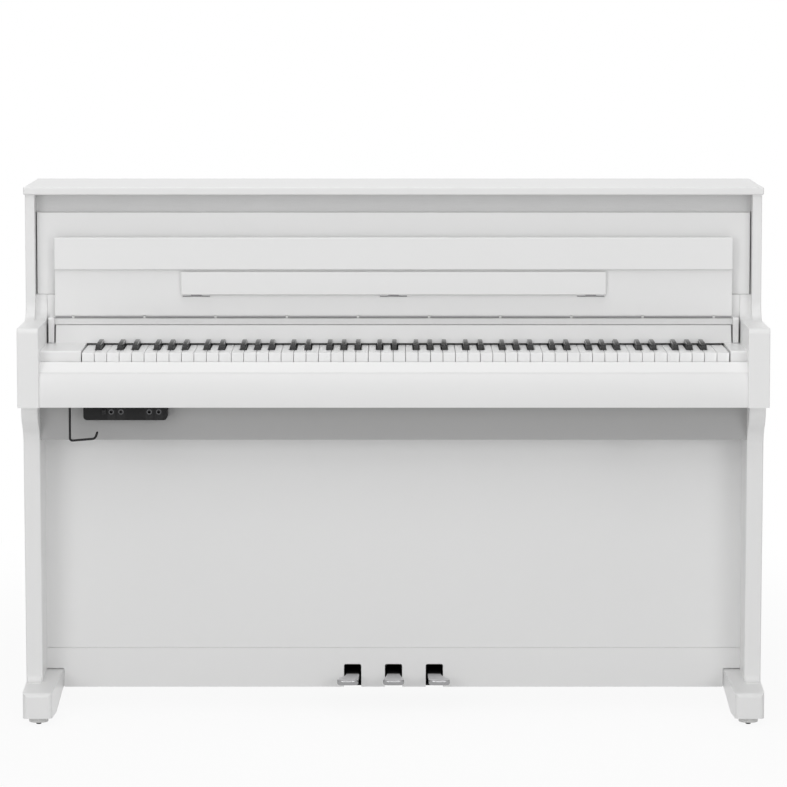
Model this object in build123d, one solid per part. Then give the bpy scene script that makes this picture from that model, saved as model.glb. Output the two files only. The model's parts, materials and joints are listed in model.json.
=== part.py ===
from build123d import *
import math
import os

# An upright-cabinet digital piano, in millimetres.
# +Z is up, the player sits on the -Y side and the bass keys are on the -X side.
# The origin is on the floor, under the middle of the whole piano.

# Cabinet
WIDTH = 1420.0                # across the outer faces of the side panels
HEIGHT = 1027.0               # floor to the top of the lid
DEPTH = 475.0                 # arm fronts to the back of the lid
SIDE_THICKNESS = 18.0
ARM_WIDTH = 40.5              # side panel and inner cheek together
ARM_HEIGHT = 151.0            # above the underside of the key bed
ARM_NOSE_RADIUS = 10.0
SIDE_SETBACK = 187.0          # front edge of the upper side panel, behind the arm front
SIDE_COVE_RADIUS = 32.0
CHEEK_COVE_RADIUS = 40.0
EDGE_ROUND = 2.0              # softened edges of the lacquered boards
LID_THICKNESS = 15.0
LID_OVERHANG = 2.5
LID_SETBACK = 176.0
LID_ROUND = 3.0
REAR_GAP = 5.0                # lid back to rear panel
REAR_PANEL_THICKNESS = 5.0
REAR_PANEL_INSET = 4.0        # rear panel edge inside the side panel's outer face

# Upper front
PANEL_SETBACK = 215.0
PANEL_THICKNESS = 15.0
PANEL_SIDE_GAP = 2.0
PANEL_RISE = 46.0             # lower edge of the upper panel above the arm tops
GRILLE_HEIGHT = 36.0
GRILLE_THICKNESS = 4.0
GRILLE_RECESS = 7.0
TWEETER_SIZE = 32.0
TWEETER_DEPTH = 18.0
TWEETER_INSET = 212.0         # from the side panel

# Key bed, key slip and key blocks
UPPER_HEIGHT = 407.0          # underside of the key bed to the top of the lid
BED_THICKNESS = 18.0
SLIP_DEPTH = 36.0
SLIP_TOP = 84.0               # above the underside of the key bed
SLIP_BEND = 65.0              # height where the rounded front meets the slope
SLIP_FOOT_SETBACK = 8.0
SLIP_BULGE = 2.5              # how far the rounded front stands before its foot
SLIP_BEND_SETBACK = 12.0
SLIP_SHELF = 6.0              # flat top behind the slope
SLIP_SEAM = 0.8               # groove where the slope starts
SLIP_SEAM_DEPTH = 1.8
BLOCK_SETBACK = 39.0
BLOCK_ROUND = 4.0
BLOCK_RISE = 3.6              # key block top above the white keys
BLOCK_LEAST = 20.0            # least width of a key block

# Keys, counted in steps from C within an octave
KEY_COUNT = 88
OCTAVE_STEPS = 12
WHITE_STEPS = (0, 2, 4, 5, 7, 9, 11)
F_STEP = 5
LOWEST_STEP = 9               # the lowest key is an A
SINGLE_KEYS = {
    39: "key_c4", 40: "key_c_sharp_4", 41: "key_d4", 42: "key_d_sharp_4",
    43: "key_e4", 44: "key_f4", 45: "key_f_sharp_4", 46: "key_g4",
}
WHITE_PITCH = 23.6
KEY_GAP = 1.0
KEY_HEIGHT = 19.0
KEY_TOP = 83.2                # white key top above the key bed
KEY_SETBACK = 38.0
KEY_REACH = 227.0             # key front to its pivot
KEY_TAIL = 35.0
KEY_DIP = 2.5                 # degrees
KEY_CHAMFER = 0.6
KEYBOARD_SHIFT = 23.0         # keyboard centre to the right of the cabinet centre
KEYBOARD_END_GAP = 2.0
BLACK_WIDTH = 11.0
BLACK_SETBACK = 50.0          # behind the white key fronts
BLACK_LENGTH = 96.0
BLACK_RISE = 11.6
BLACK_SLOPE = 5.0
BLACK_CHAMFER = 1.2
BLACK_GAP = 1.5               # black key front to the white key's notch
STICK_DROP = 1.0              # black key's hidden stick below the white key tops
NOTCH_DEPTH = 3.0
NOTCH_HALF_ANGLE = 52.0
EDGE_HALF_ANGLE = 30.0
PIVOT_PLAY = 0.1
RAIL_DROP = 2.5               # balance rail shoulder under the keys
RAIL_DEPTH = 14.0
STOP_PLAY = 0.5

# Key frame and boards
FRAME_BASE = 5.0
FRAME_INSET = 10.0            # frame's front rail behind the key fronts
FRONT_RAIL_DEPTH = 22.0
FELT_THICKNESS = 5.0
SENSOR_SETBACK = 102.0        # sensor rail behind the key fronts
SENSOR_DEPTH = 50.0
SENSOR_DROP = 20.0            # sensor board under the keys
BOARD_THICKNESS = 1.6
CONTACT_DEPTH = 20.0
BALANCE_RAIL_HEIGHT = 9.0

# Nameboard, hinge rail and cover brackets
NAMEBOARD_SETBACK = 187.0
NAMEBOARD_LEAN = 10.0         # how far its top leans back
NAMEBOARD_HEIGHT = 34.0
NAMEBOARD_THICKNESS = 14.0
NAMEBOARD_END_GAP = 16.5      # to the arm's inner face
NAME_FELT_GAP = 1.0
NAME_FELT_FRONT = 0.5
NAME_FELT_DEPTH = 11.0
NAME_FELT_INSET = 4.0
HINGE_RAIL_GAP = 1.2          # nameboard top to the hinge rail
HINGE_NOSE_HEIGHT = 12.0
HINGE_NOSE_DEPTH = 10.0
BRACKET_GAP = 3.5             # to the arm's inner face
BRACKET_WIDTH = 10.5
BRACKET_SETBACK = 180.0

# Key cover, standing open, and its folded front leaf
COVER_SETBACK = 197.0         # hinge axis
COVER_SIDE_GAP = 1.5
COVER_THICKNESS = 10.0
COVER_REACH = 151.1           # hinge axis to the leaf hinge axis
COVER_LEAN = 4.0              # degrees, leaning back when open
COVER_DROP = 10.2             # degrees, sloping to the front when closed
LEAF_LENGTH = 60.0
LEAF_THICKNESS = 10.0
LEAF_PLAY = 0.6               # between the folded leaf and the cover
LEAF_SLOPE = 33.0             # degrees from hanging when closed
BARREL_RADIUS = 2.4
BARREL_PLAY = 0.5
PIN_RADIUS = 1.2
PIN_PLAY = 0.1
KNUCKLE_PITCH = 137.6
KNUCKLE_END_GAP = 20.0        # least distance from a knuckle's middle to the cover's end
KNUCKLE_WIDTH = 4.0
LEAF_BARREL_RADIUS = 3.2
LEAF_PIN_RADIUS = 1.4
HINGE_NECK = 3.6
LEAF_LIP_ROUND = 4.0          # soft upper edge of the folded leaf

# Music rest flap on the cover
REST_LENGTH = 820.0
REST_HEIGHT = 44.0
REST_THICKNESS = 9.0
REST_LEAF_GAP = 4.2           # its upper edge to the folded leaf's lower edge
REST_HINGE_COUNT = 3
REST_HINGE_PITCH = 381.0
REST_HINGE_WIDTH = 52.0
REST_KNUCKLE_WIDTH = 20.0
REST_BARREL_RADIUS = 1.8
REST_PIN_RADIUS = 0.8
REST_PLATE_THICKNESS = 1.0
REST_PLATE_HEIGHT = 9.0
REST_BARREL_GAP = 0.3
FLAP_CHAMFER = 0.8

# Legs, feet and glides
LEG_THICKNESS = 32.0
LEG_TOP_SETBACK = 71.0
LEG_KNEE_SETBACK = 115.0
LEG_FOOT_SETBACK = 130.0
LEG_CURVE_START = 10.0        # below the key bed
LEG_CURVE_HEIGHT = 76.0
LEG_ROUND = 3.0
LEG_COVE = 14.0               # sweep from the leg's front onto the foot
FOOT_WIDTH = 56.0
FOOT_SETBACK = 46.0
FOOT_TOP = 80.0               # at the pedal rail
FOOT_NOSE_TOP = 65.0
FOOT_NOSE_RADIUS = 9.0
FOOT_ROUND = 9.0              # upright front corners
FOOT_FLARE = 8.0              # wider at the pedal rail than in front
FOOT_ARCH = 30.0              # hollow under the foot, highest at the pedal rail
FOOT_ARCH_ROUND = 60.0
GLIDE_HEIGHT = 16.0
GLIDE_PAD_RADIUS = 20.0
GLIDE_STEP_RADIUS = 18.5
GLIDE_STEP = 5.0
GLIDE_TIP_RADIUS = 5.0
GLIDE_TIP_HEIGHT = 5.0
GLIDE_INSET = 34.0            # from the foot's front and back ends

# Lower front and pedals
LOWER_SETBACK = 225.0
LOWER_THICKNESS = 12.0
RAIL_SETBACK = 222.0
RAIL_THICKNESS = 15.0
RAIL_BOTTOM = 45.0
RAIL_TOP = 123.0
RAIL_REBATE = 1.2             # seam under the lower panel
RAIL_REBATE_DEPTH = 4.0
RAIL_FOOT_GAP = 2.2
RAIL_NOTCH_RADIUS = 4.0
PEDAL_PITCH = 80.0
PEDAL_SLOT_WIDTH = 33.8
PEDAL_SLOT_TOP = 90.0
PEDAL_SLOT_RADIUS = 3.5
PEDAL_TIP_SETBACK = 160.0
PEDAL_PIVOT_SETBACK = 370.0
PEDAL_TOP = 71.0
PEDAL_THICKNESS = 12.0        # at the tip
PEDAL_ARM_THICKNESS = 5.0
PEDAL_DROOP = 1.5             # how far the tip lies below the arm
PEDAL_DROOP_RADIUS = 240.0    # soft bend between the head and the arm
PEDAL_HEAD_WIDTH = 41.0
PEDAL_HEAD_LENGTH = 58.0
PEDAL_TIP_BULGE = 9.0
PEDAL_SPLAY = 9.0             # outward bend of the two outer pedals
PEDAL_ARM_WIDTH = 26.0
PEDAL_ROUND = 3.0
PEDAL_BARREL_RADIUS = 8.0
PEDAL_TAIL = 18.0
PEDAL_ROD_RADIUS = 4.0
PEDAL_BOX_WIDTH = 300.0
PEDAL_BOX_DEPTH = 163.0
PEDAL_BOX_FLOOR = 3.0
PEDAL_BOX_TOP = 118.0
PEDAL_BOX_WALL = 4.0
SPRING_WIRE = 1.2
SPRING_RADIUS = 6.4
SPRING_PITCH = 2.2
SPRING_TURNS = 4.5
SPRING_GAP = 2.0

# Under the key bed
SPEAKER_SETBACK = 120.0
SPEAKER_HEIGHT = 75.0
SPEAKER_WALL = 9.0
WOOFER_INSET = 228.0          # from the leg
WOOFER_RADIUS = 41.0
WOOFER_HOLE = 35.0
WOOFER_DEPTH = 38.0
WOOFER_FLANGE = 3.0
WOOFER_MAGNET = 24.0
WOOFER_GUARD = 3.0
GUARD_PLAY = 0.1
JACK_BOX_INSET = 86.0         # from the left leg
JACK_BOX_LENGTH = 160.0
JACK_BOX_HEIGHT = 32.5
JACK_BOX_SETBACK = 80.0
JACK_BOX_DEPTH = 38.0
JACK_BOX_ROUND = 7.0
JACK_PLACES = (53.5, 72.0, 126.0, 144.0)  # along the jack box
JACK_BORE = 3.2
JACK_SLEEVE = 5.0
JACK_DEPTH = 22.0
JACK_BLOCK_WIDTH = 15.0
JACK_BLOCK_HEIGHT = 25.0
JACK_PROUD = 1.2
JACK_HEIGHT = 16.0            # jack axis above the box's bottom
BUTTON_PLACE = 40.0           # along the jack box
BUTTON_WIDTH = 9.0
BUTTON_LENGTH = 14.0
BUTTON_PROUD = 4.0
BUTTON_TRAVEL = 2.5
BUTTON_PLAY = 0.4
HOOK_INSET = 62.0             # from the left leg
HOOK_REACH = 48.0
HOOK_RISE = 4.0               # its lower run, towards the tip
HOOK_LEAN = 4.0               # its tip, outward
HOOK_DROP = 70.0
HOOK_TIP = 14.0
HOOK_WIRE = 4.4
HOOK_BEND = 6.0
HOOK_SETBACK = 60.0
HOOK_PLATE = 22.0
HOOK_PLATE_THICKNESS = 2.0

# Electronics at the back, and screws
MAIN_BOARD = (240.0, 90.0)
POWER_BOARD = (150.0, 80.0)
BOARD_STANDOFF = 8.0
BOARD_REAR_GAP = 25.0
MAIN_BOARD_INSET = 410.0      # from the left end of the cabinet
POWER_BOARD_INSET = 230.0     # from the right end
CHIP_SIZE = 26.0
CHIP_HEIGHT = 3.0
INLET_WIDTH = 30.0
INLET_HEIGHT = 22.0
INLET_DEPTH = 24.0
INLET_FLANGE = 4.0
INLET_FLANGE_THICKNESS = 2.0
INLET_RECESS = 16.0
INLET_PIN = 2.4
INLET_PIN_PITCH = 10.0
INLET_INSET = 150.0           # from the right end
INLET_RISE = 45.0             # above the key bed
SCREW_RADIUS = 1.9
SCREW_HOLE = 2.2
SCREW_LENGTH = 25.0
SCREW_HEAD_RADIUS = 4.0
SCREW_HEAD_HEIGHT = 2.4
SCREW_ROWS = 4                # up each side of the rear panel
SCREW_COLUMNS = 6             # along its lower edge
SCREW_MARGIN = 40.0

# Working margins
CUT_MARGIN = 1.0              # how far a cut runs past the face it opens
JOIN_OVERLAP = 1.0            # how far two joined forms reach into each other
PICK_MARGIN = 1.0             # how near a plane an edge lies to be picked by it
ALONG_AXIS = 0.9              # cosine past which a direction counts as along an axis

# Planes and edges that several pieces share
half_width = WIDTH / 2
front = -DEPTH / 2
back = DEPTH / 2
side_inner = half_width - SIDE_THICKNESS
arm_inner = half_width - ARM_WIDTH
bed_underside = HEIGHT - UPPER_HEIGHT
arm_top = bed_underside + ARM_HEIGHT
lid_bottom = HEIGHT - LID_THICKNESS
rear_panel_back = back - REAR_GAP
rear_panel_front = rear_panel_back - REAR_PANEL_THICKNESS
panel_front = front + PANEL_SETBACK
panel_back = panel_front + PANEL_THICKNESS
panel_bottom = arm_top + PANEL_RISE
panel_top = lid_bottom - GRILLE_HEIGHT
grille_front = panel_front + GRILLE_RECESS
bed_top = bed_underside + BED_THICKNESS
bed_front = front + SLIP_DEPTH
slip_top = bed_underside + SLIP_TOP

key_front = front + KEY_SETBACK
key_top = bed_top + KEY_TOP
key_bottom = key_top - KEY_HEIGHT
key_pivot = key_front + KEY_REACH
key_end = key_pivot + KEY_TAIL
pivot_height = key_bottom + NOTCH_DEPTH - PIVOT_PLAY
black_front = key_front + BLACK_SETBACK
black_end = black_front + BLACK_LENGTH
black_top = key_top + BLACK_RISE
white_keys = [n for n in range(KEY_COUNT) if (n + LOWEST_STEP) % OCTAVE_STEPS in WHITE_STEPS]
white_room = 2 * (arm_inner - KEYBOARD_SHIFT - KEYBOARD_END_GAP - BLOCK_LEAST)
white_count = min(len(white_keys), int(white_room / WHITE_PITCH))
key_count = white_keys[white_count - 1] + 1
keyboard_left = KEYBOARD_SHIFT - white_count * WHITE_PITCH / 2
keyboard_right = KEYBOARD_SHIFT + white_count * WHITE_PITCH / 2
block_top = key_top + BLOCK_RISE

nameboard_front = front + NAMEBOARD_SETBACK
nameboard_top = block_top + NAMEBOARD_HEIGHT
nameboard_half = arm_inner - NAMEBOARD_END_GAP
nose_bottom = nameboard_top + HINGE_RAIL_GAP
nose_top = nose_bottom + HINGE_NOSE_HEIGHT
bracket_outer = arm_inner - BRACKET_GAP
bracket_inner = bracket_outer - BRACKET_WIDTH

cover_axis_y = front + COVER_SETBACK
cover_axis_z = nose_top + BARREL_PLAY + BARREL_RADIUS
cover_half = bracket_inner - COVER_SIDE_GAP
cover_face = -COVER_THICKNESS / 2
leaf_back = cover_face - LEAF_PLAY
leaf_front = leaf_back - LEAF_THICKNESS
leaf_axis = cover_face - LEAF_PLAY / 2
leaf_lip_back = leaf_axis - LEAF_BARREL_RADIUS - BARREL_PLAY
leaf_lip_top = COVER_REACH + LEAF_BARREL_RADIUS
cover_edge = COVER_REACH - LEAF_BARREL_RADIUS - BARREL_PLAY
rest_axis = cover_face - REST_BARREL_RADIUS - REST_BARREL_GAP
rest_bottom = COVER_REACH - LEAF_LENGTH - REST_LEAF_GAP - REST_HEIGHT
rest_rise = rest_bottom - REST_BARREL_RADIUS - REST_BARREL_GAP

leg_inner = half_width - LEG_THICKNESS
foot_inner = half_width - FOOT_WIDTH
foot_flared = foot_inner - FOOT_FLARE
foot_slope = (FOOT_TOP - FOOT_NOSE_TOP) / (RAIL_SETBACK - FOOT_SETBACK)
leg_foot_z = FOOT_NOSE_TOP + foot_slope * (LEG_FOOT_SETBACK - FOOT_SETBACK)
rail_front = front + RAIL_SETBACK
rail_back = rail_front + RAIL_THICKNESS
pedal_pivot_y = front + PEDAL_PIVOT_SETBACK
pedal_pivot_z = PEDAL_TOP - PEDAL_THICKNESS / 2
jack_left = JACK_BOX_INSET - leg_inner
hook_left = HOOK_INSET - leg_inner
inlet_x = half_width - INLET_INSET
jack_front = front + JACK_BOX_SETBACK
jack_bottom = bed_underside - JACK_BOX_HEIGHT
jack_axis_z = jack_bottom + JACK_HEIGHT


def block(x, y, z):
    """A box between a low and a high value on each axis."""
    size = [high - low for low, high in (x, y, z)]
    middle = [(high + low) / 2 for low, high in (x, y, z)]
    return Pos(*middle) * Box(*size)


def outline(points, radii=0):
    """A closed flat face with its corners rounded, one radius each or one for all."""
    return make_face(FilletPolyline(*points, radius=radii, close=True))


def along_x(points, x, radii=0):
    """A (y, z) outline carried from the low to the high x."""
    return Pos(x[0], 0, 0) * extrude(Plane.YZ * outline(points, radii), amount=x[1] - x[0])


def along_y(points, y, radii=0):
    """An (x, z) outline carried from the low to the high y."""
    return Pos(0, y[1], 0) * extrude(Plane.XZ * outline(points, radii), amount=y[1] - y[0])


def rod_x(x, y, z, radius):
    """A round rod along X."""
    return Pos((x[0] + x[1]) / 2, y, z) * Rot(0, 90, 0) * Cylinder(radius, x[1] - x[0])


def rod_y(x, y, z, radius):
    """A round rod along Y."""
    return Pos(x, (y[0] + y[1]) / 2, z) * Rot(90, 0, 0) * Cylinder(radius, y[1] - y[0])


def other_side(shape):
    """The same piece on the left of the cabinet."""
    return mirror(shape, about=Plane.YZ)


def joined(pieces):
    """Several touching or overlapping pieces as one solid."""
    whole = pieces[0]
    for piece in pieces[1:]:
        whole = whole + piece
    return whole


def even(count, pitch):
    """Places at an even pitch, centred on zero."""
    return [(i - (count - 1) / 2) * pitch for i in range(count)]


# Cabinet boards

def screw_places():
    """(x, z) of each rear panel screw: up both side panels and along the key bed's edge."""
    side_x = side_inner + SIDE_THICKNESS / 2
    low = bed_top + SCREW_MARGIN
    step = (lid_bottom - SCREW_MARGIN - low) / (SCREW_ROWS - 1)
    rows = [low + i * step for i in range(SCREW_ROWS)]
    pitch = 2 * (arm_inner - SCREW_MARGIN) / (SCREW_COLUMNS - 1)
    lower = [(x, bed_underside + BED_THICKNESS / 2) for x in even(SCREW_COLUMNS, pitch)]
    return [(sign * side_x, z) for sign in (-1, 1) for z in rows] + lower


def screw_holes():
    """Clearance holes for the rear panel screws."""
    deep = (rear_panel_back - SCREW_LENGTH - CUT_MARGIN, rear_panel_back + CUT_MARGIN)
    return [rod_y(x, deep, z, SCREW_HOLE) for x, z in screw_places()]


def side_panel():
    """Right side board: arm in front, cove, upper side behind."""
    points = [
        (front, bed_underside), (front, arm_top),
        (front + SIDE_SETBACK, arm_top), (front + SIDE_SETBACK, lid_bottom),
        (rear_panel_front, lid_bottom), (rear_panel_front, bed_underside),
    ]
    radii = [0, ARM_NOSE_RADIUS, SIDE_COVE_RADIUS, 0, 0, 0]
    board = along_x(points, (side_inner, half_width), radii)
    outer = board.faces().sort_by(Axis.X)[-1].edges()
    return fillet(outer, EDGE_ROUND) - screw_holes()


def arm():
    """Right inner cheek: thickens the arm and coves up to the upper panel."""
    points = [
        (front, bed_underside), (front, arm_top),
        (panel_front - PANEL_SIDE_GAP, arm_top), (panel_front - PANEL_SIDE_GAP, panel_bottom),
        (panel_back, panel_bottom), (panel_back, bed_underside),
    ]
    radii = [0, ARM_NOSE_RADIUS, CHEEK_COVE_RADIUS, 0, 0, 0]
    cheek = along_x(points, (arm_inner, side_inner), radii)
    inner = cheek.faces().sort_by(Axis.X)[0].edges()
    shown = [e for e in inner
             if e.center().Y < panel_front and e.center().Z > bed_underside + PICK_MARGIN]
    return fillet(shown, EDGE_ROUND)


def top_lid():
    """Lid board with a rounded rim."""
    half = half_width + LID_OVERHANG
    board = block((-half, half), (front + LID_SETBACK, back), (lid_bottom, HEIGHT))
    return fillet(board.edges(), LID_ROUND)


def upper_panel():
    """Front board between the key cover and the grille."""
    half = side_inner - PANEL_SIDE_GAP
    board = block((-half, half), (panel_front, panel_back), (panel_bottom, panel_top))
    return fillet(board.faces().sort_by(Axis.Y)[0].edges(), EDGE_ROUND)


def speaker_grille():
    """Cloth-covered strip under the lid."""
    return block((-side_inner, side_inner),
                 (grille_front, grille_front + GRILLE_THICKNESS), (panel_top, lid_bottom))


def back_panel():
    """Thin rear board over the side panels' back edges, with screw holes and the inlet's window."""
    half = half_width - REAR_PANEL_INSET
    board = block((-half, half), (rear_panel_front, rear_panel_back), (bed_underside, lid_bottom))
    window = block((inlet_x - INLET_WIDTH / 2, inlet_x + INLET_WIDTH / 2),
                   (rear_panel_front - CUT_MARGIN, rear_panel_back + CUT_MARGIN), inlet_heights())
    return board - [window] - screw_holes()


def assembly_screws():
    """Pan-head screws that hold the rear panel."""
    screws = []
    for x, z in screw_places():
        shank = rod_y(x, (rear_panel_back - SCREW_LENGTH, rear_panel_back), z, SCREW_RADIUS)
        head = rod_y(x, (rear_panel_back, rear_panel_back + SCREW_HEAD_HEIGHT), z, SCREW_HEAD_RADIUS)
        screws.append(shank + head)
    return screws


# Key bed, key slip, key blocks and nameboard

def key_bed():
    """Board that carries the keys, between the cheeks."""
    board = block((-arm_inner, arm_inner), (bed_front, rear_panel_front), (bed_underside, bed_top))
    return board - screw_holes()


def key_slip():
    """Front rail: rounded front, fine seam, slope, narrow flat top."""
    foot = (front + SLIP_FOOT_SETBACK, bed_underside)
    bend = (front + SLIP_BEND_SETBACK, bed_underside + SLIP_BEND)
    belly = (front + SLIP_FOOT_SETBACK - SLIP_BULGE, bed_underside + SLIP_BEND / 2)
    shelf = (bed_front - SLIP_SHELF, slip_top)
    rim = ThreePointArc(foot, belly, bend) + Polyline(
        bend, shelf, (bed_front, slip_top), (bed_front, bed_underside), foot)
    profile = Plane.YZ * make_face(rim)
    rail = Pos(-arm_inner, 0, 0) * extrude(profile, amount=2 * arm_inner)
    seam = block((-half_width, half_width), (bend[0] - CUT_MARGIN, bend[0] + SLIP_SEAM_DEPTH),
                 (bend[1], bend[1] + SLIP_SEAM))
    return rail - seam


def key_block(x):
    """Block that fills the end of the keyboard, on the key bed."""
    points = [
        (front + BLOCK_SETBACK, bed_top), (front + BLOCK_SETBACK, block_top),
        (panel_back, block_top), (panel_back, bed_top),
    ]
    return along_x(points, x, [0, BLOCK_ROUND, 0, 0])


def nameboard():
    """Leaning board behind the keys."""
    points = [
        (nameboard_front, block_top), (nameboard_front + NAMEBOARD_LEAN, nameboard_top),
        (nameboard_front + NAMEBOARD_LEAN + NAMEBOARD_THICKNESS, nameboard_top),
        (nameboard_front + NAMEBOARD_THICKNESS, block_top),
    ]
    return along_x(points, (-nameboard_half, nameboard_half))


def hinge_rail():
    """Rail under the upper panel, with a nose that carries the cover hinge."""
    nose_front = cover_axis_y
    rail_y = nose_front + HINGE_NOSE_DEPTH
    rail = block((-arm_inner, arm_inner), (rail_y, panel_back), (nose_bottom, panel_bottom))
    nose = block((-bracket_inner, bracket_inner), (nose_front, rail_y), (nose_bottom, nose_top))
    return rail + nose


def cover_brackets():
    """End brackets on the key blocks, at both ends of the cover hinge."""
    rear = cover_axis_y + HINGE_NOSE_DEPTH
    right = block((bracket_inner, bracket_outer), (front + BRACKET_SETBACK, rear),
                  (block_top, cover_axis_z))
    right = fillet(right.edges().filter_by(Axis.X).sort_by(Axis.Y)[:2], BLOCK_ROUND)
    return [right, other_side(right)]


# Keys and what they rock on

def key_slot(n):
    """Step above C, left end of the octave, and the key's share of the width behind the heads.

    C to E share three white keys' width evenly among five keys, and F to B four among seven.
    """
    octave, step = divmod(n + LOWEST_STEP, OCTAVE_STEPS)
    left = keyboard_left + (len(WHITE_STEPS) * octave - WHITE_STEPS.index(LOWEST_STEP)) * WHITE_PITCH
    lower_whites = WHITE_STEPS.index(F_STEP)
    lower_width = lower_whites * WHITE_PITCH
    upper_width = (len(WHITE_STEPS) - lower_whites) * WHITE_PITCH
    if step < F_STEP:
        unit = lower_width / F_STEP
        start = left + step * unit
    else:
        unit = upper_width / (OCTAVE_STEPS - F_STEP)
        start = left + lower_width + (step - F_STEP) * unit
    return step, left, start, start + unit


def pivot_notch():
    """V-shaped notch across the keys, over the balance rail's edge."""
    half = NOTCH_DEPTH * math.tan(math.radians(NOTCH_HALF_ANGLE))
    points = [(key_pivot - half, key_bottom), (key_pivot + half, key_bottom),
              (key_pivot, key_bottom + NOTCH_DEPTH)]
    return along_x(points, (keyboard_left, keyboard_right))


def white_key(n):
    """White key: wide head, tail cut away for its black neighbours."""
    step, left, tail_left, tail_right = key_slot(n)
    head_left = left + WHITE_STEPS.index(step) * WHITE_PITCH + KEY_GAP / 2
    head_right = head_left + WHITE_PITCH - KEY_GAP
    tail_left = head_left if n == 0 else max(tail_left, head_left)
    tail_right = head_right if n == key_count - 1 else min(tail_right, head_right)
    notch = black_front - BLACK_GAP
    head = block((head_left, head_right), (key_front, notch), (key_bottom, key_top))
    tail = block((tail_left, tail_right), (notch, key_end), (key_bottom, key_top))
    key = head + tail
    rim = key.faces().sort_by(Axis.Z)[-1].edges()
    return chamfer(rim, KEY_CHAMFER) - pivot_notch()


def black_key(n):
    """Black key: sloped and chamfered cap on a stick between the white tails."""
    slot_left, slot_right = key_slot(n)[2:]
    middle = (slot_left + slot_right) / 2
    points = [
        (black_front, key_bottom), (black_front, key_top), (black_front + BLACK_SLOPE, black_top),
        (black_end, black_top), (black_end, key_top - STICK_DROP),
        (key_end, key_top - STICK_DROP), (key_end, key_bottom),
    ]
    key = along_x(points, (middle - BLACK_WIDTH / 2, middle + BLACK_WIDTH / 2))
    top = key.faces().sort_by(Axis.Z)[-1].edges()
    return chamfer(top, BLACK_CHAMFER) - pivot_notch()


def keys():
    """Node name to the keys in it: the octave's first eight keys alone, the rest in four groups."""
    groups = {}
    for n in range(key_count):
        sharp = n not in white_keys
        side = "bass" if n < min(SINGLE_KEYS) else "treble"
        name = SINGLE_KEYS.get(n, ("black_keys_" if sharp else "white_keys_") + side)
        groups.setdefault(name, []).append(black_key(n) if sharp else white_key(n))
    return groups


def drop(y):
    """How far a pressed key's underside has gone down at y."""
    return (key_pivot - y) * math.sin(math.radians(KEY_DIP))


rail_felt_front = key_front + FRAME_INSET
rail_felt_top = key_bottom - drop(rail_felt_front) - STOP_PLAY
front_rail_top = rail_felt_top - FELT_THICKNESS
sensor_front = key_front + SENSOR_SETBACK
sensor_rail_top = key_bottom - SENSOR_DROP
contact_front = sensor_front + (SENSOR_DEPTH - CONTACT_DEPTH) / 2
balance_bottom = key_bottom - RAIL_DROP - BALANCE_RAIL_HEIGHT
frame_x = (keyboard_left, keyboard_right)


def key_frame():
    """Tray on the key bed with the front rail, the sensor rail and the balance rail's seat."""
    base_top = bed_top + FRAME_BASE
    base = block(frame_x, (rail_felt_front, key_end), (bed_top, base_top))
    front_rail = block(frame_x, (rail_felt_front, rail_felt_front + FRONT_RAIL_DEPTH),
                       (base_top, front_rail_top))
    sensor_rail = block(frame_x, (sensor_front, sensor_front + SENSOR_DEPTH),
                        (base_top, sensor_rail_top))
    seat = block(frame_x, (key_pivot - RAIL_DEPTH / 2, key_pivot + RAIL_DEPTH / 2),
                 (base_top, balance_bottom))
    return joined([base, front_rail, sensor_rail, seat])


def balance_rail():
    """Rail with a ridge that all the keys rock on."""
    shoulder = key_bottom - RAIL_DROP
    half = (pivot_height - shoulder) * math.tan(math.radians(EDGE_HALF_ANGLE))
    points = [
        (key_pivot - RAIL_DEPTH / 2, balance_bottom), (key_pivot - RAIL_DEPTH / 2, shoulder),
        (key_pivot - half, shoulder), (key_pivot, pivot_height), (key_pivot + half, shoulder),
        (key_pivot + RAIL_DEPTH / 2, shoulder), (key_pivot + RAIL_DEPTH / 2, balance_bottom),
    ]
    return along_x(points, frame_x)


def felt_strips():
    """Felt under the nameboard and on the key frame's front rail."""
    felt_front = nameboard_front - NAME_FELT_FRONT
    name_felt = block((keyboard_left + NAME_FELT_INSET, keyboard_right - NAME_FELT_INSET),
                      (felt_front, felt_front + NAME_FELT_DEPTH),
                      (key_top + NAME_FELT_GAP, block_top))
    rail_felt = block(frame_x, (rail_felt_front, rail_felt_front + FRONT_RAIL_DEPTH),
                      (front_rail_top, rail_felt_top))
    return [name_felt, rail_felt]


def rubber_contacts():
    """Rubber dome strip on the sensor board, just clear of the pressed keys."""
    low = sensor_rail_top + BOARD_THICKNESS
    high = key_bottom - drop(contact_front) - STOP_PLAY
    return block(frame_x, (contact_front, contact_front + CONTACT_DEPTH), (low, high))


def rear_board(size, x):
    """Circuit board on four standoffs at the back of the key bed, with two chips."""
    length, width = size
    rear = rear_panel_front - BOARD_REAR_GAP
    low = bed_top + BOARD_STANDOFF
    board = block((x - length / 2, x + length / 2), (rear - width, rear), (low, low + BOARD_THICKNESS))
    pieces = [board]
    for dx in even(2, length - CHIP_SIZE):
        for dy in even(2, width - CHIP_SIZE):
            pieces.append(Pos(x + dx, rear - width / 2 + dy, bed_top + BOARD_STANDOFF / 2)
                          * Cylinder(CHIP_HEIGHT, BOARD_STANDOFF))
    for dx in even(2, 2 * CHIP_SIZE):
        middle = x + dx
        pieces.append(block((middle - CHIP_SIZE / 2, middle + CHIP_SIZE / 2),
                            (rear - width / 2 - CHIP_SIZE / 2, rear - width / 2 + CHIP_SIZE / 2),
                            (low + BOARD_THICKNESS, low + BOARD_THICKNESS + CHIP_HEIGHT)))
    return joined(pieces)


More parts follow.
